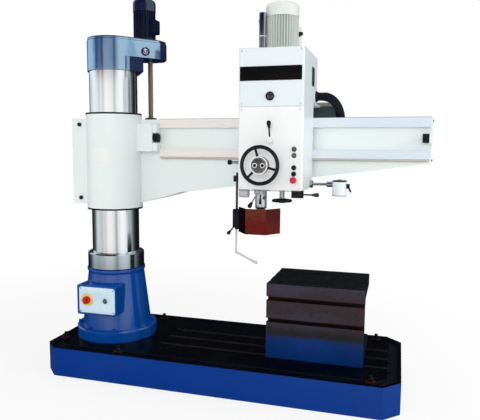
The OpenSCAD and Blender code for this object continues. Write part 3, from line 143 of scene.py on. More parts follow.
# Sprayed enamel: slow colour drift, orange peel, uneven gloss and rubbed edges
def paint(name, colour, rough=0.3, worn=None, drift=0.05, peel=0.04, radius=0.004, rub=0.4,
          spec=0.5, **sockets):
    look = Look(name)
    fine = look.noise(38, 3, shift=3.1)
    cloud = look.span(look.noise(1.7, 3), 0.3, 0.7)
    base = look.blend(cloud, scaled(colour, 1 - 2 * drift), colour)
    patches = look.span(look.noise(55, 4, shift=7.7), 0.38, 0.62, 0.0, rub)
    normal, base = look.rubbed(base, radius, patches, worn or scaled(colour, 1.5, 0.03))
    return look.done(Base_Color=base, Specular_IOR_Level=spec,
                     Roughness=look.span(fine, 0.25, 0.8, rough * 0.85, rough * 1.2),
                     Normal=look.bump(look.noise(620, 2), peel, 0.0006, normal), **sockets)


# Machined metal: fine tool marks along one direction, faint stains, uneven gloss
def metal(name, colour, rough=0.28, marks=(1, 1, 60), scale=60, stain=0.12, radius=0.002,
          strength=0.05):
    look = Look(name)
    lines = look.noise(scale, 5, marks)
    dull = scaled(colour, 0.62)
    stains = look.span(look.noise(9, 5, shift=1.7), 0.45, 0.8, 0.0, 3 * stain)
    base = look.blend(stains, colour, dull)
    base = look.blend(look.span(lines, 0.35, 0.7, 0.0, stain), base, dull)
    normal, base = look.rubbed(base, radius, 0.35, rgb(225, 226, 228))
    return look.done(Base_Color=base, Metallic=1.0,
                     Roughness=look.span(lines, 0.2, 0.8, rough * 0.75, rough * 1.3),
                     Normal=look.bump(lines, strength, 0.0005, normal))


# Rubber, plastic and moulded grips: grain and scuffs
def plastic(name, colour, rough=0.35, grain=900, strength=0.12, scuff=0.18, spec=0.5):
    look = Look(name)
    cloud = look.noise(26, 4)
    base = look.blend(look.span(cloud, 0.45, 0.75, 0.0, scuff), colour, scaled(colour, 1.6, 0.015))
    return look.done(Base_Color=base, Specular_IOR_Level=spec,
                     Roughness=look.span(cloud, 0.3, 0.8, rough * 0.85, rough * 1.25),
                     Normal=look.bump(look.noise(grain, 2), strength, 0.0004))


# Oiled cast iron: clouds of dried oil and planing marks
def iron(name, colour, rough=0.4, mark=rgb(44, 46, 48), edge_colour=rgb(60, 70, 80), spec=0.5):
    look = Look(name)
    cloud = look.noise(7, 5)
    lines = look.noise(120, 4, (0.06, 1, 1), 2.0)
    base = look.blend(look.span(cloud, 0.4, 0.75), colour, scaled(colour, 1.6, 0.001))
    base = look.blend(look.span(lines, 0.5, 0.8, 0.0, 0.25), base, mark)
    normal, base = look.rubbed(base, 0.003, 0.4, edge_colour)
    return look.done(Base_Color=base, Specular_IOR_Level=spec,
                     Roughness=look.span(cloud, 0.2, 0.8, rough * 0.8, rough * 1.3),
                     Normal=look.bump(lines, 0.08, 0.0006, normal))


# The lifting gear's enamel: deep blue under a strong bluish gloss with duller blotches; its lid is
# darker, with a darker reflection tint, along the top
LID_DARK_TOP = (2.401, 2.405)


def glossy_blue(name, dark_top=None):
    look = Look(name)
    fine = look.noise(30, 3, shift=3.1)
    base = look.blend(look.span(look.noise(2.5, 4), 0.35, 0.65), rgb(34, 72, 138), rgb(44, 84, 150))
    normal, base = look.rubbed(base, 0.004, 0.35, rgb(150, 180, 214))
    blotch = look.span(look.noise(9, 5, (1, 1, 0.5), 5.3), 0.5, 0.66, 0.0, 0.45)
    tint = look.blend(blotch, (0.68, 0.92, 1.0, 1.0), (0.16, 0.3, 0.52, 1.0))
    if dark_top:
        height = look.span(look.split(look.coord)["Z"], *dark_top)
        base = look.blend(height, base, rgb(46, 56, 72))
        tint = look.blend(height, tint, (0.1, 0.12, 0.16, 1.0))
    return look.done(Base_Color=base, Roughness=look.span(fine, 0.25, 0.8, 0.05, 0.085),
                     IOR=6.0, Specular_Tint=tint,
                     Normal=look.bump(look.noise(500, 2), 0.03, 0.0005, normal))


# Scraped ways: pale, warm at the column's end of the arm and cool at its free end, with fine
# planing marks
WAY_WARM, WAY_COOL = 0.5, 2.1


def rail_steel():
    look = Look("rail_steel")
    parts = look.split(look.coord)
    lines = look.noise(420, 4, (0.04, 1, 1))
    along = look.math("ADD", parts["X"], look.span(look.noise(3, 3), 0.3, 0.7, -0.15, 0.15))
    base = look.blend(look.span(along, WAY_WARM, WAY_COOL), rgb(250, 243, 238), rgb(226, 239, 248))
    base = look.blend(look.span(lines, 0.4, 0.75, 0.0, 0.1), base, rgb(196, 194, 196))
    normal, base = look.rubbed(base, 0.003, 0.5, rgb(170, 166, 166))
    return look.done(Base_Color=base, Metallic=0.15,
                     Roughness=look.span(lines, 0.2, 0.8, 0.36, 0.5),
                     Normal=look.bump(lines, 0.04, 0.0004, normal))


# The table's front: rusty machined iron with orange slot edges above an uneven line, blue enamel
# below it
TABLE_SLOTS = (0.465, 0.615)
TABLE_PAINT_LOW, TABLE_PAINT_HIGH = 0.335, 0.385


def table_front():
    look = Look("rusty_table")
    cloud = look.noise(4.2, 6, (0.5, 1, 1.4))
    speck = look.noise(42, 5, shift=4.0)
    brown = look.blend(look.span(cloud, 0.35, 0.7), rgb(62, 56, 74), rgb(54, 46, 48))
    brown = look.blend(look.span(speck, 0.5, 0.78, 0.0, 0.5), brown, rgb(30, 26, 28))
    height = look.split(look.coord)["Z"]
    away = [look.math("ABSOLUTE", look.math("SUBTRACT", height, z)) for z in TABLE_SLOTS]
    near = [look.span(distance, 0.014, 0.03, 0.9, 0.0) for distance in away]
    rust = look.math("MULTIPLY", look.math("MAXIMUM", *near), look.span(cloud, 0.3, 0.6, 0.25, 1.0))
    brown = look.blend(rust, brown, rgb(70, 36, 16))
    ripple = look.span(look.noise(9, 4, (1, 1, 0.2)), 0.2, 0.8, -0.008, 0.008)
    wave = look.math("ADD", height, ripple)
    painted = look.span(wave, TABLE_PAINT_LOW, TABLE_PAINT_HIGH, 1.0, 0.0)
    soiled = look.span(wave, TABLE_PAINT_HIGH, TABLE_SLOTS[0], 0.8, 0.0)
    brown = look.blend(soiled, brown, rgb(32, 32, 26))
    blue = look.blend(look.span(look.noise(3, 4), 0.3, 0.7), rgb(9, 48, 110), rgb(13, 62, 140))
    normal, base = look.rubbed(look.blend(painted, brown, blue), 0.003, 0.35, rgb(92, 92, 98))
    return look.done(Base_Color=base, Roughness=look.span(painted, 0.0, 1.0, 0.6, 0.3),
                     Specular_IOR_Level=0.25, Normal=look.bump(speck, 0.12, 0.0008, normal))


# Tinted see-through sheet, redder toward its lower edge, cloudy, with fine scratches
GUARD_RED, GUARD_BROWN = 1.1, 1.2


def tinted(name, dark, light, through):
    look = Look(name)
    drift = look.span(look.noise(9, 3), 0.3, 0.7, -0.03, 0.03)
    height = look.math("ADD", look.split(look.coord)["Z"], drift)
    base = look.blend(look.span(height, GUARD_RED, GUARD_BROWN), light, dark)
    mottle = look.span(look.noise(48, 5, shift=2.2), 0.45, 0.7, 0.0, 0.6)
    base = look.blend(mottle, base, scaled(dark, 0.35))
    scratches = look.noise(60, 4, (1, 1, 6))
    return look.done(Base_Color=base, Roughness=look.span(scratches, 0.3, 0.7, 0.1, 0.2),
                     IOR=1.45, Transmission_Weight=through, Specular_IOR_Level=0.1,
                     Normal=look.bump(look.noise(160, 2), 0.03, 0.0005))


def glass(name, colour):
    look = Look(name)
    base = look.blend(look.span(look.noise(60, 2), 0.3, 0.7), colour, scaled(colour, 1.2))
    return look.done(Base_Color=base, Roughness=0.06, IOR=1.5, Transmission_Weight=0.9,
                     Normal=look.bump(look.noise(90, 2), 0.02, 0.0005))


M = {
    "blue": paint("blue_enamel", rgb(3, 58, 145), rough=0.16, worn=rgb(64, 104, 164), drift=0.03),
    # A lighter copy of the blue enamel for the pedestal, its bolts and the switch box: painted
    # light
    "blue_painted_lighter": paint("pedestal_enamel_painted_light", rgb(6, 76, 164), rough=0.11, worn=rgb(84, 122, 178),
                       drift=0.03, spec=0.9),
    "cap_blue": glossy_blue("gearbox_enamel"),
    "lid_blue": glossy_blue("lid_enamel", LID_DARK_TOP),
    # Darker navy: painted shade on the gearbox's underside, nose ends and the web under the nose;
    # also the ring of its sight glass
    "gear_navy_and_painted_shade": paint("gearbox_navy_and_painted_shade", rgb(18, 34, 78), rough=0.25, worn=rgb(70, 96, 150),
                       spec=0.2),
    "navy": paint("navy_enamel", rgb(13, 21, 50), rough=0.2, worn=rgb(60, 80, 124), spec=0.25),
    "lift_cowl": paint("lift_cowl_enamel", rgb(15, 25, 62), rough=0.16, worn=rgb(70, 88, 134),
                       spec=0.8),
    "guard_navy": paint("guard_box_enamel", rgb(8, 13, 28), worn=rgb(50, 60, 84), spec=0.2),
    "cowl_navy": paint("cowl_enamel", rgb(13, 21, 54), rough=0.16, worn=rgb(70, 88, 134),
                       Coat_Weight=1.0, Coat_IOR=4.2, Coat_Roughness=0.07, spec=0.1),
    "arm_white": paint("arm_enamel", rgb(240, 248, 246), rough=0.36, drift=0.012,
                       worn=rgb(214, 224, 222)),
    "head_white": paint("head_enamel", rgb(251, 252, 252), rough=0.34, drift=0.006,
                        worn=rgb(212, 220, 219), radius=0.009, rub=0.9),
    "case_white": paint("case_enamel", rgb(238, 247, 250), rough=0.34, drift=0.01,
                        worn=rgb(214, 226, 230)),
    "cover_white": paint("cover_enamel", rgb(236, 245, 248), rough=0.34, drift=0.008,
                         worn=rgb(210, 220, 220), radius=0.009, rub=0.9),
    "cream": paint("motor_enamel", rgb(231, 235, 229), rough=0.36, drift=0.02,
                   worn=rgb(240, 240, 234)),
    # Darker cream for the faces between the motor's fins: painted shade
    "fin_gap_painted_shade": paint("motor_fin_gap_painted_shade", rgb(172, 184, 178), rough=0.5, drift=0.06),
    "unit_green": paint("unit_enamel", rgb(48, 65, 67), rough=0.4, worn=rgb(110, 124, 122)),
    "unit_pale": paint("unit_lid_enamel", rgb(140, 144, 142), rough=0.4, worn=rgb(180, 184, 182)),
    "steel": metal("ground_steel", rgb(252, 252, 252), rough=0.1, marks=(1, 1, 40), stain=0.02,
                   strength=0.015),
    "collar": metal("turned_collar", rgb(214, 224, 232), rough=0.16, marks=(1, 1, 40), stain=0.05,
                    strength=0.03),
    "rail": rail_steel(),
    "rack": paint("oiled_rack", rgb(214, 208, 194), rough=0.4, worn=rgb(190, 180, 160),
                  Metallic=0.2),
    "edge_line": plastic("way_strip", rgb(96, 94, 94), rough=0.5),
    "bright": metal("turned_steel", rgb(190, 192, 198), rough=0.25),
    "chrome": metal("chrome", rgb(222, 226, 228), rough=0.14, stain=0.05),
    "dark_steel": metal("black_oxide_steel", rgb(58, 60, 66), rough=0.42),
    "bronze": metal("bronze", rgb(176, 128, 72), rough=0.32),
    "screw": metal("oiled_screw_steel", rgb(224, 208, 180), rough=0.34, stain=0.2),
    "screw_root": metal("oiled_screw_grooves", rgb(128, 112, 90), rough=0.5, stain=0.3),
    "black": plastic("black_phenolic", rgb(16, 18, 19), rough=0.3, scuff=0.12, spec=0.25),
    "wheel": paint("wheel_enamel", rgb(14, 28, 32), rough=0.2, worn=rgb(60, 76, 80), spec=0.35),
    "rubber": plastic("black_rubber", rgb(22, 27, 29), rough=0.7, spec=0.2),
    "hose": plastic("conduit_rubber", rgb(8, 12, 26), rough=0.45, spec=0.25),
    "red": plastic("red_plastic", rgb(206, 28, 22)),
    "estop": plastic("red_mushroom", rgb(200, 36, 66)),
    "oxide": plastic("red_oxide", rgb(66, 22, 24), rough=0.5, scuff=0.3, spec=0.2),
    "pale_grey": paint("pale_housing_enamel", rgb(200, 199, 209), rough=0.35,
                       worn=rgb(120, 122, 130), rub=0.9),
    "pipe": paint("pale_pipe_enamel", rgb(222, 229, 227), worn=rgb(190, 200, 198)),
    "green": plastic("green_plastic", rgb(58, 122, 96)),
    "grey_button": plastic("grey_plastic", rgb(76, 84, 82), rough=0.4),
    "moss_button": plastic("moss_plastic", rgb(86, 110, 96), rough=0.4),
    "white_plastic": plastic("white_plastic", rgb(238, 245, 247), scuff=0.05),
    "yellow": plastic("yellow_plastic", rgb(240, 214, 130), rough=0.4),
    "lamp_top": plastic("lamp_cap_enamel", rgb(20, 32, 30)),
    "olive": plastic("olive_grip", rgb(44, 46, 34)),
    "iron_top": iron("oiled_iron", rgb(2, 4, 9), 0.25, rgb(9, 11, 15), rgb(16, 40, 76), 0.05),
    "slot": iron("slot_iron", rgb(44, 37, 31), 0.5, rgb(66, 56, 46), rgb(74, 64, 54), 0.2),
    "rust_slot": iron("rusty_slot", rgb(36, 22, 15), 0.6, rgb(80, 42, 20), rgb(92, 46, 18), 0.1),
    "gutter": iron("gutter_enamel", rgb(8, 14, 24), 0.4),
    "table_top": iron("table_iron", rgb(12, 19, 23), 0.45, rgb(32, 36, 38), spec=0.2),
    "table_end": iron("table_end_iron", rgb(24, 23, 26), 0.5, rgb(40, 38, 40), spec=0.2),
    "table": table_front(),
    "tinted": tinted("tinted_guard", rgb(112, 48, 34), rgb(114, 14, 5), 0.2),
    # Darker copies of the tinted sheet for its left fold and its right side: painted shade
    "tinted_fold_painted_shade": tinted("tinted_guard_fold_painted_shade", rgb(12, 1, 3), rgb(26, 3, 5), 0.1),
    "tinted_side_painted_shade": tinted("tinted_guard_side_painted_shade", rgb(90, 32, 26), rgb(110, 32, 22), 0.2),
    "glass": glass("sight_glass", rgb(206, 180, 172)),
    "lens": glass("lamp_lens", rgb(240, 242, 238)),
    "dial": metal("dial_ring", rgb(128, 116, 112), rough=0.4, marks=(1, 1, 1), scale=300,
                  stain=0.2),
    "plate_black": plastic("black_plate", rgb(9, 8, 9), rough=0.3, grain=300, strength=0.03,
                           scuff=0.03, spec=0.12),
    "panel": plastic("white_panel", rgb(213, 238, 249), rough=0.3, grain=500, strength=0.03,
                     scuff=0.06),
    "label": plastic("blank_plate", rgb(246, 247, 243), grain=500, strength=0.02, scuff=0.04),
}


# Which faces of a CAD node take which material: the first is for all, the others by a test on
# a face's middle and normal, in millimetres
def dress(node, first, *others):
    mesh = NODES[node].data
    mesh.materials.clear()
    for key in (first, *[o[0] for o in others]):
        mesh.materials.append(M[key])
    for face in mesh.polygons:
        face.material_index = 0
        for number, (_, test) in enumerate(others, 1):
            if test(face.center / MM, face.normal):
                face.material_index = number


def box(node):
    low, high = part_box(node)
    return low / MM, high / MM


BASE_LOW, BASE_HIGH = box("base_plate")
TABLE_LOW, TABLE_HIGH = box("box_table")
PANEL_LOW, PANEL_HIGH = box("front_panel")
COVER_LOW, COVER_HIGH = box("upper_cover")
LID_LOW, LID_HIGH = box("gearbox_lid")
HEAD_FRONT, HEAD_RIGHT = COVER_LOW.y, COVER_HIGH.x
SPINDLE_X, SPINDLE_Y = 1187, -190

# Base: black top, gutter inside the rim, and T-slots
BASE_TOP, BASE_RIM, GUTTER_DEPTH = BASE_HIGH.z, 20, 29
SLOT_ROWS, SLOT_HALF, SLOT_DEPTH = (-160, 0, 160), 27, 60
SLOT_START, SLOT_STOP = 425, BASE_HIGH.x - 100


def sunk(p, depth):
    return BASE_TOP - depth < p.z < BASE_TOP - 1


def inside_rim(p):
    return all(low + BASE_RIM < value < high - BASE_RIM
               for low, value, high in zip(BASE_LOW.xy, p.xy, BASE_HIGH.xy))


def in_base_slot(p):
    return SLOT_START < p.x < SLOT_STOP and any(abs(p.y - row) < SLOT_HALF for row in SLOT_ROWS)


dress("base_plate", "blue",
      ("iron_top", lambda p, n: p.z > BASE_TOP - 1 and n.z > 0.5),
      ("gutter", lambda p, n: sunk(p, GUTTER_DEPTH) and inside_rim(p)),
      ("slot", lambda p, n: sunk(p, SLOT_DEPTH) and in_base_slot(p)))

# Table: T-slots in its front and its top, dark ends and insides
T_DEPTH, T_HALF, T_LOWEST, T_TOP_START = 55, 30, 440, 20


def in_front_slot(p):
    at_slot = p.z > T_LOWEST and any(abs(p.z - z / MM) < T_HALF for z in TABLE_SLOTS)
    return TABLE_LOW.y + 0.5 < p.y < TABLE_LOW.y + T_DEPTH and at_slot


def in_top_slot(p, n):
    return (TABLE_HIGH.z - T_DEPTH < p.z < TABLE_HIGH.z - 1 and p.y > TABLE_LOW.y + T_TOP_START
            and n.z > -0.5)


dress("box_table", "table", ("table_top", lambda p, n: n.z > 0.7 and p.z > TABLE_HIGH.z - 1),
      ("table_end", lambda p, n: abs(n.x) > 0.7),
      ("rust_slot", lambda p, n: in_front_slot(p) or in_top_slot(p, n)),
      ("table_end", lambda p, n: p.y > TABLE_LOW.y + 0.5
       and TABLE_LOW.z + 1 < p.z < TABLE_HIGH.z - 1))

# The gearbox's nose points to one side of the arm: lengths along it and across it
NOSE_TURN = radians(35)
NOSE = Vector((cos(NOSE_TURN), sin(NOSE_TURN), 0))
NOSE_SIDE = Vector((sin(NOSE_TURN), -cos(NOSE_TURN), 0))
NOSE_LOW = box("lift_gearbox")[1].z - 116
GEARBOX_END, LID_END, WEB_START, WEB_SIDE = 330, 325, 100, 172


def nose_end(p, n, start):
    return n.dot(NOSE) > 0.5 and p.dot(NOSE) > start


def web_side(p, n):
    return (p.z < NOSE_LOW and p.dot(NOSE) > WEB_START and n.dot(NOSE_SIDE) > 0.5
            and p.dot(NOSE_SIDE) < WEB_SIDE)


# The gearbox's underside, the end of its nose and the web under the nose take the darker navy as
# painted shade; so does the lid's nose end
dress("lift_gearbox", "cap_blue",
      ("gear_navy_and_painted_shade", lambda p, n: n.z < -0.5 or nose_end(p, n, GEARBOX_END) or web_side(p, n)))
dress("gearbox_lid", "lid_blue", ("gear_navy_and_painted_shade", lambda p, n: nose_end(p, n, LID_END)))

# Column collar, head vent, motor fins and rear unit
COLLAR_TOP, UNIT_TOP, UNIT_BRACKET = 842, 1900, 310
dress("column_sleeve", "steel", ("collar", lambda p, n: p.z < COLLAR_TOP))
VENT_LOW, VENT_HIGH = Vector((HEAD_RIGHT - 9, -46, 2033)), Vector((HEAD_RIGHT - 0.5, -14, 2157))
dress("head_case", "case_white",
      ("rubber", lambda p, n: all(a < b < c for a, b, c in zip(VENT_LOW, p, VENT_HIGH))))
MOTOR_AT, FIN_ROOT = Vector((1297.32, -103.81, 0)), 97
# The faces between the motor's fins take the darker cream: painted shade in the gaps
dress("main_motor", "cream",
      ("fin_gap_painted_shade", lambda p, n: (p - MOTOR_AT).xy.length < FIN_ROOT and abs(n.z) < 0.5))
dress("rear_unit", "unit_green", ("unit_pale", lambda p, n: n.z > 0.5 and p.z > UNIT_TOP),
      ("arm_white", lambda p, n: p.y < UNIT_BRACKET))

# Levers and knobs: where a grip gives way to its stem
FEED_STEM, FEED_GRIP, START_GRIP, SIDE_GRIP = 1302, 1279.5, 1535.5, 987
SHIFT_BOSS, SHIFT_FRONT = 1698, -403
dress("fine_feed_wheel", "black", ("bright", lambda p, n: p.z > FEED_STEM))
dress("shift_lever", "black", ("head_white", lambda p, n: p.z < SHIFT_BOSS and p.y > SHIFT_FRONT))
dress("start_lever", "dark_steel", ("olive", lambda p, n: p.x > START_GRIP))
dress("feed_lever", "bright", ("black", lambda p, n: p.z < FEED_GRIP))
dress("side_knob", "chrome", ("black", lambda p, n: p.x < SIDE_GRIP))

# Guard: front, fold and side of the screen (fold and side with painted shade), its hinge box, and
# its knob on a stem; then the lamp
FOLD_X, SIDE_X, HINGE_X, HINGE_HALF, HINGE_LOW = 1120, 1230, 1043.5, 23.5, 1087
KNOB_X, STEM_X, STEM_TOP, LAMP_NECK, LAMP_GRIP = 996.5, 1003, 1098, 1646, 1737.5
dress("guard", "tinted", ("tinted_fold_painted_shade", lambda p, n: n.x < -0.5 and p.x < FOLD_X),
      ("tinted_side_painted_shade", lambda p, n: n.x > 0.5 and p.x > SIDE_X),
      ("guard_navy", lambda p, n: p.x < HINGE_X and abs(p.y - SPINDLE_Y) < HINGE_HALF
       and p.z > HINGE_LOW),
      ("black", lambda p, n: p.x < KNOB_X or p.x < STEM_X and p.z < STEM_TOP))
dress("lamp_shade", "white_plastic", ("bright", lambda p, n: p.x < LAMP_NECK),
      ("black", lambda p, n: p.x > LAMP_GRIP))

# Push-buttons: node, body and material
BUTTONS = (("lift_up_button", "up", "grey_button"), ("lift_down_button", "down", "moss_button"),
           ("start_button", "start", "black"), ("stop_button", "stop", "black"),
           ("emergency_stop", "estop", "estop"))
for button, _, key in BUTTONS:
    dress(button, key)

# Nodes of one material
for key, names in (
        ("bright", "inner_column lift_pinion motor_gear spindle_gear spindle traverse_shaft"),
        ("bright", "lamp_bracket"), ("bronze", "column_bearings spindle_bearings"),
        ("dark_steel", "anchor_bolts clamp_bolts lift_nut guard_rod"), ("screw", "lift_screw"),
        ("blue_painted_lighter", "pedestal pedestal_bolts switch_box"), ("red", "main_switch_knob"),
        ("navy", "lift_motor"), ("lift_cowl", "lift_motor_cowl"), ("cowl_navy", "spindle_tube"),
        ("arm_white", "arm_casting arm_end_cover"), ("rail", "guide_rails"), ("hose", "conduit"),
        ("rubber", "arm_seals arm_bumpers"), ("rack", "traverse_rack"), ("green", "power_button"),
        ("head_white", "front_panel"), ("cover_white", "upper_cover"), ("cream", "motor_cowl"),
        ("black", "start_housing clamp_button unclamp_button quill_lock_lever"),
        ("pale_grey", "lever_block"), ("wheel", "traverse_wheel"), ("chrome", "quill"),
        ("pipe", "coolant_pipe")):
    for node in names.split():
        dress(node, key)


# New pieces are drawn in millimetres, in place, and ride on a body
def piece(name, bm, body, keys, smooth=35):
    bmesh.ops.recalc_face_normals(bm, faces=bm.faces)
    mesh = bpy.data.meshes.new(name)
    bm.to_mesh(mesh)
    bm.free()
    mesh.transform(Matrix.Scale(MM, 4))
    for key in keys.split():
        mesh.materials.append(M[key])
    mesh.set_sharp_from_angle(angle=radians(smooth))
    for face in mesh.polygons:
        face.use_smooth = True
    made = bpy.data.objects.new(name, mesh)
    SCENE.collection.objects.link(made)
    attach(made, body)
    return made


FRONT, RIGHT, UP = (0, -1, 0), (1, 0, 0), (0, 0, 1)


# A place: a point with its outward direction, so that local Z points out and local Y up
def facing(at, out):
    z = Vector(out).normalized()
    x = Vector(UP).cross(z)
    x = x.normalized() if x.length > 1e-6 else Vector((1, 0, 0))
    return move(at) @ Matrix((x, z.cross(x), z)).transposed().to_4x4()


def polar(r, a):
    return r * cos(a), r * sin(a)


# A turned form: rings of (radius, height), its open ends capped, or joined up where the profile
# comes back to its start; a third entry makes a ring a hexagon
def turn(bm, place, profile, sides, index=0):
    rings = []
    looped = profile[0] == profile[-1]
    for ring in profile[:-1] if looped else profile:
        radius, height = ring[0], ring[1]
        if radius == 0:
            rings.append([bm.verts.new(place @ Vector((0, 0, height)))])
            continue
        row = []
        for i in range(sides):
            a = 2 * pi * i / sides
            r = radius
            if len(ring) > 2:
                r = radius * cos(pi / 6) / cos(a % (pi / 3) - pi / 6)
            row.append(bm.verts.new(place @ Vector((*polar(r, a), height))))
        rings.append(row)
    for a, b in zip(rings, rings[1:] + rings[:1] if looped else rings[1:]):
        for i in range(sides):
            j = (i + 1) % sides
            corners = [a[i % len(a)], a[j % len(a)], b[j % len(b)], b[i % len(b)]]
            kept = [v for n, v in enumerate(corners) if v not in corners[:n]]
            if len(kept) > 2:
                bm.faces.new(kept).material_index = index
    for end in () if looped else (rings[0], rings[-1]):
        if len(end) > 1:
            bm.faces.new(end).material_index = index
    return bm


def ring_profile(inner, outer, low, high, edge):
    return [(inner, low), (outer, low), (outer, high - edge), (outer - edge, high),
            (inner + edge, high), (inner, high - edge), (inner, low)]


# A flat outline pushed along its normal between two heights
def prism(bm, place, outline, low, high, index=0):
    rows = [[bm.verts.new(place @ Vector((x, y, z))) for x, y in outline] for z in (low, high)]
    sides = [(i, (i + 1) % len(outline)) for i in range(len(outline))]
    faces = [bm.faces.new((rows[0][i], rows[0][j], rows[1][j], rows[1][i])) for i, j in sides]
    faces += [bm.faces.new(rows[0][::-1]), bm.faces.new(rows[1])]
    for face in faces:
        face.material_index = index
    return bm


def bar(bm, place, low, high, index=0):
    (x0, y0, z0), (x1, y1, z1) = low, high
    return prism(bm, place, [(x0, y0), (x1, y0), (x1, y1), (x0, y1)], z0, z1, index)


# A flat plate with a rounded outline and round holes, bevelled all round, its back on the place
HOLE_SIDES = 40


def plate(bm, place, width, height, corner, thick, holes=(), edge=1.0, steps=6):
    curve = bpy.data.curves.new("outline", "CURVE")
    curve.dimensions = "2D"
    curve.fill_mode = "BOTH"
    curve.extrude = thick / 2 - edge
    curve.bevel_depth = edge
    curve.bevel_resolution = 1
    curve.offset = -edge
    points = []
    for cx, cy, start in ((1, 1, 0), (-1, 1, 90), (-1, -1, 180), (1, -1, 270)):
        for i in range(steps + 1):
            a = radians(start + 90 * i / steps)
            points.append((cx * (width / 2 - corner) + corner * cos(a),
                           cy * (height / 2 - corner) + corner * sin(a)))
    loops = [points]
    around = [2 * pi * i / HOLE_SIDES for i in range(HOLE_SIDES)]
    for x, y, d in holes:
        loops.append([(x + d / 2 * cos(a), y - d / 2 * sin(a)) for a in around])
    for loop in loops:
        line = curve.splines.new("POLY")
        line.points.add(len(loop) - 1)
        for point, (x, y) in zip(line.points, loop):
            point.co = (x, y, 0, 1)
        line.use_cyclic_u = True
    made = bpy.data.objects.new("outline", curve)
    SCENE.collection.objects.link(made)
    depsgraph = bpy.context.evaluated_depsgraph_get()
    mesh = bpy.data.meshes.new_from_object(made.evaluated_get(depsgraph))
    mesh.transform(place @ move((0, 0, thick / 2)))
    bm.from_mesh(mesh)
    bmesh.ops.remove_doubles(bm, verts=bm.verts, dist=0.001)
    bpy.data.objects.remove(made)
    bpy.data.curves.remove(curve)
    bpy.data.meshes.remove(mesh)
    return bm


# A cap screw with a hexagon socket, and a low round-headed one
def cap_screw(bm, place, d):
    h = d / 2
    turn(bm, place, [(d / 2, 0), (d / 2, h * 0.8), (d * 0.42, h), (d * 0.28, h, 6),
                     (d * 0.28, h * 0.35, 6), (0, h * 0.3)], 24)


def low_screw(bm, place, d, index=0):
    turn(bm, place, [(d / 2, 0), (d * 0.48, d * 0.12), (d * 0.36, d * 0.22), (d * 0.2, d * 0.26),
                     (d * 0.18, d * 0.1), (0, d * 0.1)], 20, index)


# A piece of one turned form, and a piece of bars with bevelled edges
def turned(name, place, profile, sides, body, key):
    piece(name, turn(bmesh.new(), place, profile, sides), body, key)


def bars(name, boxes, offset, segments, body, key):
    bm = bmesh.new()
    for low, high in boxes:
        bar(bm, Matrix.Identity(4), low, high)
    bmesh.ops.bevel(bm, geom=bm.edges[:], offset=offset, segments=segments, affect="EDGES")
    piece(name, bm, body, key)


# Places at the corners of a rectangle
def corners(place, width, height):
    return [place @ move((x * width / 2, y * height / 2, 0))
            for x in (-1, 1) for y in (-1, 1)]


# Switch panel on the pedestal's box, yellow ring round the main switch, ring round the power button
BOX_LOW, BOX_HIGH = box("switch_box")
SWITCH_X, POWER_X, SWITCH_Z = -75, 70, (BOX_LOW.z + BOX_HIGH.z) / 2
PANEL_X, PANEL_W, PANEL_H, PANEL_CORNER, PANEL_T, SCREW_IN = 5, 287, 191, 18, 2.4, 25
panel_at = facing((PANEL_X, BOX_LOW.y, SWITCH_Z), FRONT)
bm = plate(bmesh.new(), panel_at, PANEL_W, PANEL_H, PANEL_CORNER, PANEL_T,
           [(SWITCH_X - PANEL_X, 0, 98), (POWER_X - PANEL_X, 0, 38)], 0.8)
screw_at = panel_at @ move((0, 0, PANEL_T))
for place in corners(screw_at, PANEL_W - SCREW_IN, PANEL_H - SCREW_IN):
    low_screw(bm, place, 9, 1)
piece("switch_panel", bm, "base", "panel bright")
for name, x, profile, sides, key in (
        ("switch_disc", SWITCH_X, ring_profile(28.2, 48.5, 0, 4, 1), 56, "yellow"),
        ("power_ring", POWER_X, ring_profile(13.4, 18.6, 0, 5, 1.2), 40, "chrome")):
    turned(name, facing((x, BOX_LOW.y, SWITCH_Z), FRONT), profile, sides, "base", key)

# Washers under the anchor nuts
ANCHOR_ROW, ANCHOR_NEAR, ANCHOR_FAR = BASE_HIGH.y - 78, 218, BASE_HIGH.x - 182
ANCHOR_LEFT, ANCHOR_LEFT_ROW = BASE_LOW.x + 57, BASE_HIGH.y - 231
bm = bmesh.new()
for x, y in ((ANCHOR_NEAR, ANCHOR_ROW), (ANCHOR_FAR, ANCHOR_ROW), (ANCHOR_LEFT, ANCHOR_LEFT_ROW)):
    for side in (-1, 1):
        turn(bm, facing((x, side * y, BASE_TOP), UP), ring_profile(13, 30, 0, 4, 0.8), 36)
piece("anchor_washers", bm, "base", "oxide")

# Black plate on the upper cover, with rivets
PLATE_X, PLATE_Z, PLATE_W, PLATE_H, PLATE_CORNER, PLATE_T = 1285.5, 2081.5, 391, 87, 4, 3
RIVET_IN = 15
plate_at = facing((PLATE_X, HEAD_FRONT, PLATE_Z), FRONT)
bm = plate(bmesh.new(), plate_at, PLATE_W, PLATE_H, PLATE_CORNER, PLATE_T, edge=0.9)
rivet_at = plate_at @ move((0, 0, PLATE_T))
for place in corners(rivet_at, PLATE_W - RIVET_IN, PLATE_H - RIVET_IN):
    turn(bm, place, [(3.2, 0), (2.8, 1.2), (0, 1.8)], 14, 1)
piece("head_plate", bm, "head", "plate_black dark_steel")


# A sight glass: a dark ring, the glass in it and a fine mark ring
def sight_glass(name, at, out, d, body, ring, middle):
    place = facing(at, out)
    bm = turn(bmesh.new(), place, ring_profile(d * 0.36, d / 2, 0, d * 0.2, d * 0.04), 40)
    turn(bm, place, [(d * 0.36, 0), (d * 0.36, d * 0.1), (d * 0.2, d * 0.13), (0, d * 0.14)], 40, 1)
    turn(bm, place, ring_profile(d * 0.14, d * 0.18, 0, d * 0.17, d * 0.01), 32, 0)
    piece(name, bm, body, ring + " " + middle)


OIL_AT, OIL_D = (1284, HEAD_FRONT, 1943), 54
GEAR_OIL_AT, GEAR_OIL_OUT, GEAR_OIL_D = (257.5, 13, 2317), (0.748, -0.664, 0), 60
sight_glass("oil_glass", OIL_AT, FRONT, OIL_D, "head", "dark_steel", "glass")
sight_glass("gearbox_glass", GEAR_OIL_AT, GEAR_OIL_OUT, GEAR_OIL_D, "column", "gear_navy_and_painted_shade", "glass")

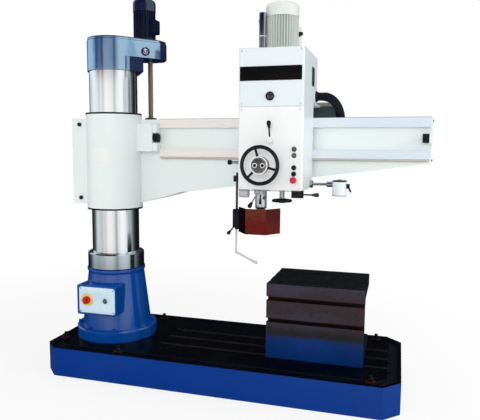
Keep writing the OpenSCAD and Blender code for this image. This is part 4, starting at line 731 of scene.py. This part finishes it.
# Blank plate bent round the arm's barrel
BARREL_R, BAND_FROM, BAND_TO, BAND_STEPS = 205, -106, -73, 16
BAND_LOW, BAND_HIGH, BAND_R = 1520, 1612, BARREL_R + 1.6
BAND = ((BARREL_R, BAND_LOW), (BAND_R, BAND_LOW + 1), (BAND_R, BAND_HIGH - 1),
        (BARREL_R, BAND_HIGH))
bm = bmesh.new()
turns = [radians(BAND_FROM + (BAND_TO - BAND_FROM) * i / BAND_STEPS)
         for i in range(BAND_STEPS + 1)]
rows = [[bm.verts.new((*polar(radius, a), z)) for a in turns] for radius, z in BAND]
for low, high in zip(rows, rows[1:] + rows[:1]):
    for i in range(BAND_STEPS):
        bm.faces.new((low[i], low[i + 1], high[i + 1], high[i]))
for i in (0, BAND_STEPS):
    bm.faces.new([row[i] for row in rows])
piece("barrel_plate", bm, "arm", "label")


# Outline of the lifting gear's lid, drawn in by a margin
def lid_outline(margin):
    end, half, corner, radius = 392 - margin, 110 - margin, 60, 185 - margin
    start = atan2(half, end - corner) + acos(radius / hypot(end - corner, half))
    around = [start + (2 * pi - 2 * start) * i / 72 for i in range(73)]
    nose = [(end - corner, -half), (end, -half + corner), (end, half - corner),
            (end - corner, half)]
    return [polar(radius, a) for a in around] + nose


# Gasket under the lid, cap screws round its top
LID_PLACE = Matrix.Rotation(NOSE_TURN, 4, "Z")
bm = prism(bmesh.new(), LID_PLACE, lid_outline(3.4), LID_LOW.z, LID_LOW.z + 2.6)
piece("lid_gasket", bm, "column", "rubber")
LID_SCREW_R, LID_SCREW_TURNS = 145, (95, 137.5, 180, 222.5, 265)
NOSE_SCREWS = [(340, -30), (340, 30)]
bm = bmesh.new()
for x, y in [polar(LID_SCREW_R, radians(a)) for a in LID_SCREW_TURNS] + NOSE_SCREWS:
    low_screw(bm, LID_PLACE @ move((x, y, LID_HIGH.z)), 16)
piece("lid_screws", bm, "column", "dark_steel")


# Gear outline with involute flanks, as on the solid that it stands for
def gear_outline(teeth, module, pressure=radians(20), backlash=0.3):
    pitch_r = module * teeth / 2
    base_r = pitch_r * cos(pressure)

    def involute(a):
        return tan(a) - a

    def half_tooth(r):
        rolled = involute(acos(base_r / r)) if r > base_r else 0
        return pi / 2 / teeth - backlash / pitch_r / 4 + involute(pressure) - rolled
    radii = [pitch_r + module * s for s in (-1.25, -0.9, -0.4, 0.1, 0.55, 0.95)]
    flanks = [(-1, r) for r in radii] + [(1, r) for r in radii[::-1]]
    return [polar(r, 2 * pi * i / teeth + side * half_tooth(r))
            for i in range(teeth) for side, r in flanks]


# The lift screw with its thread cut, its collar and gear, in place of the plain solid
SCREW_OUT = 277
SCREW_AT = Vector((*polar(SCREW_OUT, NOSE_TURN), 0))
SCREW_LOW, SCREW_HIGH = box("lift_screw")
THREAD_PITCH, THREAD_STEPS, CREST_R, ROOT_R, COLLAR_R = 7, 16, 19, 16.6, 26
THREAD_TOP, GEAR_Z, GEAR_FACE, COLLAR_Z = NOSE_LOW - 4, 2320, 30, 2300.3
GEAR_TEETH, GEAR_MODULE, GEAR_TURN = 40, 1.5, pi + radians(18)
RIDGE = ((ROOT_R - 0.2, 0), (CREST_R, 1.2), (CREST_R, 3.4), (ROOT_R - 0.2, 4.6))
bm = bmesh.new()
place = move(SCREW_AT)
turn(bm, place, [(0, SCREW_LOW.z), (ROOT_R - 2, SCREW_LOW.z), (ROOT_R, SCREW_LOW.z + 2),
                 (ROOT_R, THREAD_TOP), (CREST_R, THREAD_TOP + 2), (CREST_R, COLLAR_Z),
                 (COLLAR_R, COLLAR_Z), (COLLAR_R, GEAR_Z), (CREST_R, GEAR_Z),
                 (CREST_R, SCREW_HIGH.z - 1.5), (CREST_R - 1.5, SCREW_HIGH.z), (0, SCREW_HIGH.z)],
     32, 1)
prism(bm, place @ Matrix.Rotation(NOSE_TURN + GEAR_TURN, 4, "Z"),
      gear_outline(GEAR_TEETH, GEAR_MODULE), GEAR_Z, GEAR_Z + GEAR_FACE, 2)
ridge = []
for i in range(int((THREAD_TOP - SCREW_LOW.z - 2 * THREAD_PITCH) / THREAD_PITCH * THREAD_STEPS)):
    a = 2 * pi * i / THREAD_STEPS
    z = SCREW_LOW.z + 4 + THREAD_PITCH * i / THREAD_STEPS
    ridge.append([bm.verts.new(SCREW_AT + Vector((*polar(r, a), z + up)))
                  for r, up in RIDGE])
for a, b in zip(ridge, ridge[1:]):
    for k in range(4):
        m = (k + 1) % 4
        bm.faces.new((a[k], a[m], b[m], b[k])).material_index = 0 if k == 1 else 1
for end in (ridge[0], ridge[-1]):
    bm.faces.new(end)
thread = piece("lift_screw_thread", bm, "screw", "screw screw_root bright", 25)
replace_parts(thread, "lift_screw")

# Cap screws on the lift nut's flange and on the arm's end cover
NUT_TOP, NUT_SCREW_R = box("lift_nut")[1].z, 37.5
bm = bmesh.new()
for i in range(4):
    a = NOSE_TURN + pi / 4 + i * pi / 2
    at = SCREW_AT + Vector((*polar(NUT_SCREW_R, a), NUT_TOP))
    cap_screw(bm, facing(at, UP), 9)
piece("nut_screws", bm, "arm", "bright")
COVER_END_LOW, COVER_END = box("arm_end_cover")
END_SCREW_ROWS, END_SCREW_IN = (52, 165, 278), 22
bm = bmesh.new()
for y in END_SCREW_ROWS:
    for z in (COVER_END_LOW.z + END_SCREW_IN, COVER_END.z - END_SCREW_IN):
        cap_screw(bm, facing((COVER_END.x, y, z), RIGHT), 15)
piece("end_cover_screws", bm, "arm", "dark_steel")

# Painted screws at the corners of the head's two covers
COVER_SCREW_X, COVER_SCREW_Z = 22, 17
bm = bmesh.new()
for low, high, index in ((PANEL_LOW, PANEL_HIGH, 0), (COVER_LOW, COVER_HIGH, 1)):
    middle = facing(((low.x + high.x) / 2, HEAD_FRONT, (low.z + high.z) / 2), FRONT)
    for place in corners(middle, high.x - low.x - 2 * COVER_SCREW_X,
                         high.z - low.z - 2 * COVER_SCREW_Z):
        low_screw(bm, place, 10, index)
piece("cover_screws", bm, "head", "head_white cover_white")

# Louvre over the vent on the head's right side: a dark plate with sloping slats
VENT_AT, VENT_W, VENT_H, SLATS = facing((HEAD_RIGHT, -42, 2095), RIGHT), 104, 122, 9
SLAT_TILT, SLAT_IN, SLAT_SPREAD, LOUVRE_T = radians(25), 8, 0.92, 2
bm = plate(bmesh.new(), VENT_AT, VENT_W, VENT_H, 6, LOUVRE_T, edge=0.6)
for i in range(SLATS):
    rise = VENT_H * ((i + 0.5) / SLATS - 0.5) * SLAT_SPREAD
    bar(bm, VENT_AT @ move((0, rise, LOUVRE_T)) @ Matrix.Rotation(SLAT_TILT, 4, "X"),
        (-VENT_W / 2 + SLAT_IN, -4, -2), (VENT_W / 2 - SLAT_IN, 4, -0.6))
piece("vent_louvre", bm, "head", "unit_green")

# Pale ring round the spindle's cover tube
RING_Z = 2336
turned("tube_ring", move((SPINDLE_X, SPINDLE_Y, RING_Z)),
       ring_profile(23.6, 25, 0, 9, 0.4), 40, "head", "pale_grey")

# Grey lid on the rear unit, clear of its bracket and of the conduit
UNIT_LID_AT, UNIT_LID_W, UNIT_LID_H, UNIT_LID_T = (1525, 392, 1927), 150, 100, 32
bm = plate(bmesh.new(), facing(UNIT_LID_AT, UP), UNIT_LID_W, UNIT_LID_H, 12, UNIT_LID_T, edge=3)
piece("unit_lid", bm, "head", "unit_pale")

# Thin strip along the arm's upper front edge, and the seal under the head's front panel
STRIP = ((368, 2, 1829), (2249, 12, 1831.2))
bars("arm_top_strip", [STRIP], 0.5, 1, "arm", "edge_line")
SEAL = ((PANEL_LOW.x + 3, PANEL_LOW.y + 3, PANEL_LOW.z - 3),
        (PANEL_HIGH.x - 3, PANEL_LOW.y + 11, PANEL_LOW.z))
bars("head_seal", [SEAL], 0.5, 1, "head", "edge_line")

# The arm's stop pad runs on to the ways, above and below the bumper
PAD_FROM, PAD_TO, PAD_FRONT, PAD_BACK = 327, 366, -36, 30
PAD_ENDS = [((PAD_FROM, PAD_FRONT, low), (PAD_TO, PAD_BACK, high))
            for low, high in ((1595, 1659), (1728, 1795))]
bars("pad_ends", PAD_ENDS, 3, 2, "arm", "arm_white")

# Cable gland on the main motor's terminal box, and the fan grille on its cowl
GLAND_AT, GLAND_OUT = (1391.4, -36.9, 2374), (0.866, -0.5, 0)
turned("motor_gland", facing(GLAND_AT, GLAND_OUT),
       [(17, -2, 6), (17, 9, 6), (14, 11), (13.2, 11), (13.2, 24), (11.4, 30), (8, 34), (0, 35)],
       36, "head", "dark_steel")
COWL_TOP = box("motor_cowl")[1].z
GRILLE_R, GRILLE_RINGS, SPOKES, SPOKE_TURN = 74, (12, 26, 40, 54, 68), 4, 0.4
bm = bmesh.new()
place = facing((MOTOR_AT.x, MOTOR_AT.y, COWL_TOP), UP)
turn(bm, place, [(GRILLE_R, -1), (GRILLE_R, 0.8), (0, 0.8)], 48, 1)
for r in GRILLE_RINGS:
    turn(bm, place, ring_profile(r - 3.5, r + 3.5, 0, 4, 1), 48)
for i in range(SPOKES):
    bar(bm, place @ Matrix.Rotation(2 * pi * i / SPOKES + SPOKE_TURN, 4, "Z"),
        (10, -4, 0.5), (70, 4, 3.6))
piece("cowl_grille", bm, "head", "cream rubber")

# Push-button caps, their rings and the mushroom's dome
BUTTON_X, BEZEL_OUT = 1441, 6
bm = bmesh.new()
for node, body, key in BUTTONS:
    low, high = box(node)
    z = (low.z + high.z) / 2
    turn(bm, facing((BUTTON_X, HEAD_FRONT - BEZEL_OUT, z), FRONT),
         ring_profile(11.6, 15.6, 0, 1.8, 0.6), 36)
    r = (high.x - low.x) / 2 + 0.2
    rim = [(r, -6), (r, 0.2), (r - 1.2, 1.4)]
    crown = [(r - 2.2, 1.3), (r * 0.5, 0.6), (0, 0.4)]
    if key == "estop":
        crown = [(r * 0.7, 3.0), (r * 0.4, 3.8), (0, 4.1)]
    turned(node + "_cap", facing((BUTTON_X, low.y, z), FRONT), rim + crown, 32, body, key)
piece("button_rings", bm, "head", "dark_steel")

# Dial on the traverse wheel's hub: a brown face with division marks, a pale rim and rings
# round two push-buttons
WHEEL_LOW, WHEEL_HIGH = box("traverse_wheel")
hub_x, hub_z = (WHEEL_LOW.x + WHEEL_HIGH.x) / 2, (WHEEL_LOW.z + WHEEL_HIGH.z) / 2
HUB_AT = facing((hub_x, WHEEL_LOW.y, hub_z), FRONT)
HUB_R, DIAL_D, HUB_BUTTON, HUB_HOLE, DIVISIONS = 55, 100, 24, 20, 40
MARK_LONG, MARK_SHORT, MARK_END = 38, 42, 47
bm = plate(bmesh.new(), HUB_AT, DIAL_D, DIAL_D, DIAL_D / 2, 1.6,
           [(-HUB_BUTTON, 0, HUB_HOLE), (HUB_BUTTON, 0, HUB_HOLE)], 0.4, steps=16)
turn(bm, HUB_AT, ring_profile(HUB_R - 6, HUB_R + 0.2, -3, 2.6, 0.8), 64, 1)
for side in (-1, 1):
    turn(bm, HUB_AT @ move((side * HUB_BUTTON, 0, 0)),
         ring_profile(10.2, 14.8, 0, 3, 0.6), 36, 1)
for i in range(DIVISIONS):
    start = MARK_LONG if i % 5 == 0 else MARK_SHORT
    bar(bm, HUB_AT @ Matrix.Rotation(2 * pi * i / DIVISIONS, 4, "Z"),
        (start, -0.5, 1), (MARK_END, 0.5, 1.9), 1)
piece("hub_dial", bm, "traverse", "dial white_plastic")

# Lamp: dark domed cap, rim, lens and bulb
LAMP_AT, LAMP_TOP, LAMP_BOTTOM, LAMP_R = Vector((1691, -80, 0)), 1414, 1315, 46
LAMP_CAP = [(LAMP_R, -7), (LAMP_R + 0.8, -6), (LAMP_R + 0.8, 0.5), (LAMP_R - 1, 2.5), (30, 4),
            (12, 4.8), (12, 7.5), (0, 8)]
LAMP_LENS = [(0, 4), (30, 4.6), (LAMP_R - 3.2, 6), (LAMP_R - 3.2, 8.5), (30, 7.4), (0, 6.8)]
LAMP_BULB = [(0, 13), (10, 15), (17, 21), (18, 28), (14, 36), (10, 41), (10, 49)]
for name, z, profile, sides, key in (
        ("lamp_cap", LAMP_TOP, LAMP_CAP, 48, "lamp_top"),
        ("lamp_rim", LAMP_BOTTOM, ring_profile(44.6, 47, -0.5, 3, 0.6), 48, "dark_steel"),
        ("lamp_lens", LAMP_BOTTOM, LAMP_LENS, 48, "lens"),
        ("lamp_bulb", LAMP_BOTTOM, LAMP_BULB, 32, "white_plastic")):
    turned(name, move(LAMP_AT + Vector((0, 0, z))), profile, sides, "lamp", key)

# Ribbed conduit from the head's side into the rear unit, on the route of its solid, with its
# two nuts
CONDUIT_D, RIBS, PER_RIB, AROUND, STRAIGHT, RIB_DEPTH = 60, 52, 8, 28, 0.1, 4
conduit_from, conduit_to = Vector((HEAD_RIGHT, 100, 1978)), Vector((1644, 382.5, 1759))
LEAD, SWELL, DROP = 50, 70, 120
knots = [conduit_from, conduit_from + Vector((LEAD, 0, 0)),
         conduit_from + Vector((LEAD + SWELL, 0, 0)),
         conduit_to + Vector((0, 0, LEAD + DROP)), conduit_to + Vector((0, 0, LEAD)), conduit_to]


def conduit_at(s):
    if s < STRAIGHT:
        return knots[0].lerp(knots[1], s / STRAIGHT)
    if s > 1 - STRAIGHT:
        return knots[4].lerp(knots[5], (s - 1 + STRAIGHT) / STRAIGHT)
    t = (s - STRAIGHT) / (1 - 2 * STRAIGHT)
    return ((1 - t) ** 3 * knots[1] + 3 * t * (1 - t) ** 2 * knots[2]
            + 3 * t * t * (1 - t) * knots[3] + t ** 3 * knots[4])


bm = bmesh.new()
rings = []
for i in range(RIBS * PER_RIB + 1):
    s = i / (RIBS * PER_RIB)
    middle = conduit_at(s)
    along = (conduit_at(min(1, s + 0.001)) - conduit_at(max(0, s - 0.001))).normalized()
    side = along.cross(Vector((1, -1, 1))).normalized()
    up = side.cross(along)
    radius = CONDUIT_D / 2 - RIB_DEPTH * (0.5 - 0.5 * cos(2 * pi * i / PER_RIB))
    rings.append([bm.verts.new(middle + radius * (cos(a) * side + sin(a) * up))
                  for a in (2 * pi * j / AROUND for j in range(AROUND))])
for a, b in zip(rings, rings[1:]):
    for j in range(AROUND):
        bm.faces.new((a[j], a[(j + 1) % AROUND], b[(j + 1) % AROUND], b[j]))
for end in (rings[0], rings[-1]):
    bm.faces.new(end)
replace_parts(piece("conduit_hose", bm, "head", "hose", 60), "conduit")
bm = bmesh.new()
for place in (facing(conduit_from, RIGHT), facing(conduit_to, UP)):
    turn(bm, place, [(27, 0), (38, 0), (38, 6), (36.5, 7.5), (32.6, 7.5), (32.6, 16), (30, 18),
                     (27, 18), (27, 0)], 36)
piece("conduit_nuts", bm, "head", "hose")

# Camera: the photograph's viewing place
YAW, PITCH, ROLL = (radians(a) for a in (16.12, 6.37, 0.40))
CAMERA_AT, SENSOR, LENS, FAR = (2.0663, -3.7350, 1.6194), 36, 41.19, 200
camera_data = bpy.data.cameras.new("camera")
camera_data.sensor_width = SENSOR
camera_data.lens = LENS
camera_data.clip_end = FAR
camera = bpy.data.objects.new("camera", camera_data)
camera.matrix_world = (move(CAMERA_AT) @ Matrix.Rotation(YAW, 4, "Z")
                       @ Matrix.Rotation(pi / 2 - PITCH, 4, "X") @ Matrix.Rotation(ROLL, 4, "Z"))
SCENE.collection.objects.link(camera)
SCENE.camera = camera


# Soft boxes of the studio
def soft_box(name, at, target, width, height, power):
    data = bpy.data.lights.new(name, "AREA")
    data.shape = "RECTANGLE"
    data.size, data.size_y, data.energy = width, height, power
    lamp = bpy.data.objects.new(name, data)
    lamp.location = at
    lamp.rotation_euler = (Vector(target) - Vector(at)).to_track_quat("-Z", "Y").to_euler()
    lamp.visible_glossy = False
    SCENE.collection.objects.link(lamp)


soft_box("key", (1.7, -5.4, 3.2), (0.9, 0, 1.3), 3.2, 2.8, 84)
soft_box("side", (5.4, -0.8, 2.6), (1.4, 0, 1.4), 2.4, 2.4, 56)
soft_box("fill", (-3.6, -3.2, 2.4), (0.6, 0, 1.2), 2.2, 2.6, 30)
soft_box("top", (0.8, 0.4, 6.0), (0.8, 0, 1.0), 4.0, 3.0, 62)

# What a mirror sees of the studio, by compass direction in degrees: bright windows at the front and
# the right, a dark wall behind. Each table is for a height above the horizon: at the floor, at eye
# level, above it and high up
CARDS_FLOOR = ((-180, 0.1), (-171, 0.35), (-163, 0.62), (-155, 0.73), (-130, 0.55), (-121, 0.7),
               (-113, 0.62), (-98, 0.92), (-78, 0.88), (-67, 0.7), (-59, 0.36), (-50, 0.78),
               (-31, 1.0), (-15, 0.92), (-5, 0.7), (6, 0.42), (12, 0.5), (24, 0.24), (31, 0.13),
               (38, 0.045), (54, 0.008), (150, 0.01), (160, 0.03), (172, 0.06), (180, 0.1))
CARDS_EYE = ((-180, 0.8), (-170, 0.95), (-142, 0.85), (-134, 0.7), (-124, 0.88), (-112, 0.68),
             (-103, 0.95), (-93, 1.0), (-66, 0.88), (-57, 0.58), (-50, 0.88), (-28, 1.0),
             (-7, 0.86), (-1, 0.52), (9, 0.3), (15, 0.15), (27, 0.38), (34, 0.17), (42, 0.04),
             (50, 0.02), (70, 0.01), (130, 0.03), (145, 0.3), (160, 0.55), (172, 0.75),
             (180, 0.8))
CARDS_ABOVE = ((-180, 1.0), (-165, 1.0), (-153, 0.62), (-141, 0.05), (-133, 0.12), (-124, 0.24),
               (-116, 0.12), (-109, 0.05), (-101, 0.5), (-81, 0.52), (-64, 0.42), (-55, 0.08),
               (-46, 0.5), (-33, 0.95), (0, 1.0), (12, 0.8), (25, 0.3), (33, 0.06), (60, 0.03),
               (140, 0.05), (150, 0.5), (158, 1.0), (180, 1.0))
CARDS_HIGH = ((-180, 0.04), (-150, 0.02), (-52, 0.01), (-42, 0.8), (-30, 1.0), (44, 1.0),
              (56, 0.05), (150, 0.03), (157, 0.9), (172, 0.9), (179, 0.06))

# The studio's tint by compass direction: cool at both sides, a little warm in front
TINTS = ((-180, 0.86, 0.95, 1.0), (-136, 0.86, 0.95, 1.0), (-122, 0.98, 0.985, 1.0),
         (-112, 1.0, 0.96, 0.965), (-88, 1.0, 0.965, 0.975), (-74, 0.965, 0.975, 1.0),
         (-28, 0.955, 0.98, 1.0), (-4, 0.86, 0.95, 1.0), (30, 0.78, 0.91, 1.0),
         (180, 0.84, 0.93, 1.0))
AMBIENT = 0.58


def cards(nodes, toward, rows):
    compass = nodes.math("ARCTAN2", toward["Y"], toward["X"])
    share = nodes.math("ADD", nodes.math("DIVIDE", compass, 2 * pi), 0.5)
    ramp = nodes.put(nodes.add("ValToRGB"), Fac=share)
    stops = ramp.color_ramp.elements
    while len(stops) < len(rows):
        stops.new(0.5)
    for stop, (degrees, *levels) in zip(stops, rows):
        stop.position = degrees / 360 + 0.5
        stop.color = (*(levels * 3)[:3], 1)
    return ramp.outputs["Color"]


# World: white to the camera and through glass, the cards in mirrors, plain white light otherwise
world = bpy.data.worlds.new("studio")
SCENE.world = world
world.use_nodes = True
nodes = Tree(world.node_tree)
paths = nodes.add("LightPath").outputs
toward = nodes.split(nodes.add("TexCoord").outputs["Generated"])
mirror = cards(nodes, toward, CARDS_FLOOR)
for rows, low, high in ((CARDS_EYE, -0.01, 0.03), (CARDS_ABOVE, 0.122, 0.132),
                        (CARDS_HIGH, 0.19, 0.205)):
    card = cards(nodes, toward, rows)
    mirror = nodes.blend(nodes.span(toward["Z"], low, high), mirror, card)
mirror = nodes.blend(1.0, mirror, cards(nodes, toward, TINTS), "MULTIPLY")
shown = nodes.math("MAXIMUM", paths["Is Camera Ray"],
                   nodes.math("MAXIMUM", paths["Is Glossy Ray"], paths["Is Transmission Ray"]))
nodes.put(nodes.tree.nodes["Background"], Strength=nodes.span(shown, 0.0, 1.0, AMBIENT, 1.0),
          Color=nodes.blend(paths["Is Glossy Ray"], (1, 1, 1, 1), mirror))

# Floor: pale, white at a distance, keeping the object's shadow; darker in mirrors near the object
FLOOR_HALF, FLOOR_GAP = 60, 0.001
floor_look = bpy.data.materials.new("studio_floor")
floor_look.use_nodes = True
nodes = Tree(floor_look.node_tree)
shader = nodes.put(nodes.tree.nodes["Principled BSDF"], Base_Color=(0.86, 0.86, 0.86, 1),
                   Roughness=0.9, Specular_IOR_Level=0.1)
spot = nodes.add("NewGeometry").outputs["Position"]
spot_parts = nodes.split(spot)
reach = nodes.add("VectorMath", operation="LENGTH")
nodes.join(spot, reach.inputs[0])
reach = reach.outputs["Value"]
paths = nodes.add("LightPath").outputs
near = nodes.span(reach, 1.0, 5.5, 0.06, 1.0)
mirror = cards(nodes, spot_parts, CARDS_FLOOR)
mirror = nodes.blend(1.0, mirror, near, "MULTIPLY")
mirror = nodes.blend(1.0, mirror, cards(nodes, spot_parts, TINTS), "MULTIPLY")
glow = nodes.put(nodes.add("Emission"),
                 Color=nodes.blend(paths["Is Glossy Ray"], (1, 1, 1, 1), mirror))
seen = nodes.math("MULTIPLY", paths["Is Camera Ray"], nodes.span(reach, 1.2, 3.8, 0.78, 1.0))
indirect = nodes.math("MAXIMUM", paths["Is Glossy Ray"], paths["Is Transmission Ray"])
seen = nodes.math("MAXIMUM", seen, indirect)
both = nodes.put(nodes.add("MixShader"), Fac=seen)
nodes.join(shader.outputs["BSDF"], both.inputs[1])
nodes.join(glow.outputs["Emission"], both.inputs[2])
nodes.put(nodes.tree.nodes["Material Output"], Surface=both.outputs["Shader"])
bm = bmesh.new()
bmesh.ops.create_grid(bm, x_segments=1, y_segments=1, size=FLOOR_HALF)
floor_mesh = bpy.data.meshes.new("floor")
bm.to_mesh(floor_mesh)
bm.free()
floor_mesh.materials.append(floor_look)
floor = bpy.data.objects.new("floor", floor_mesh)
floor.location.z = -FLOOR_GAP
SCENE.collection.objects.link(floor)
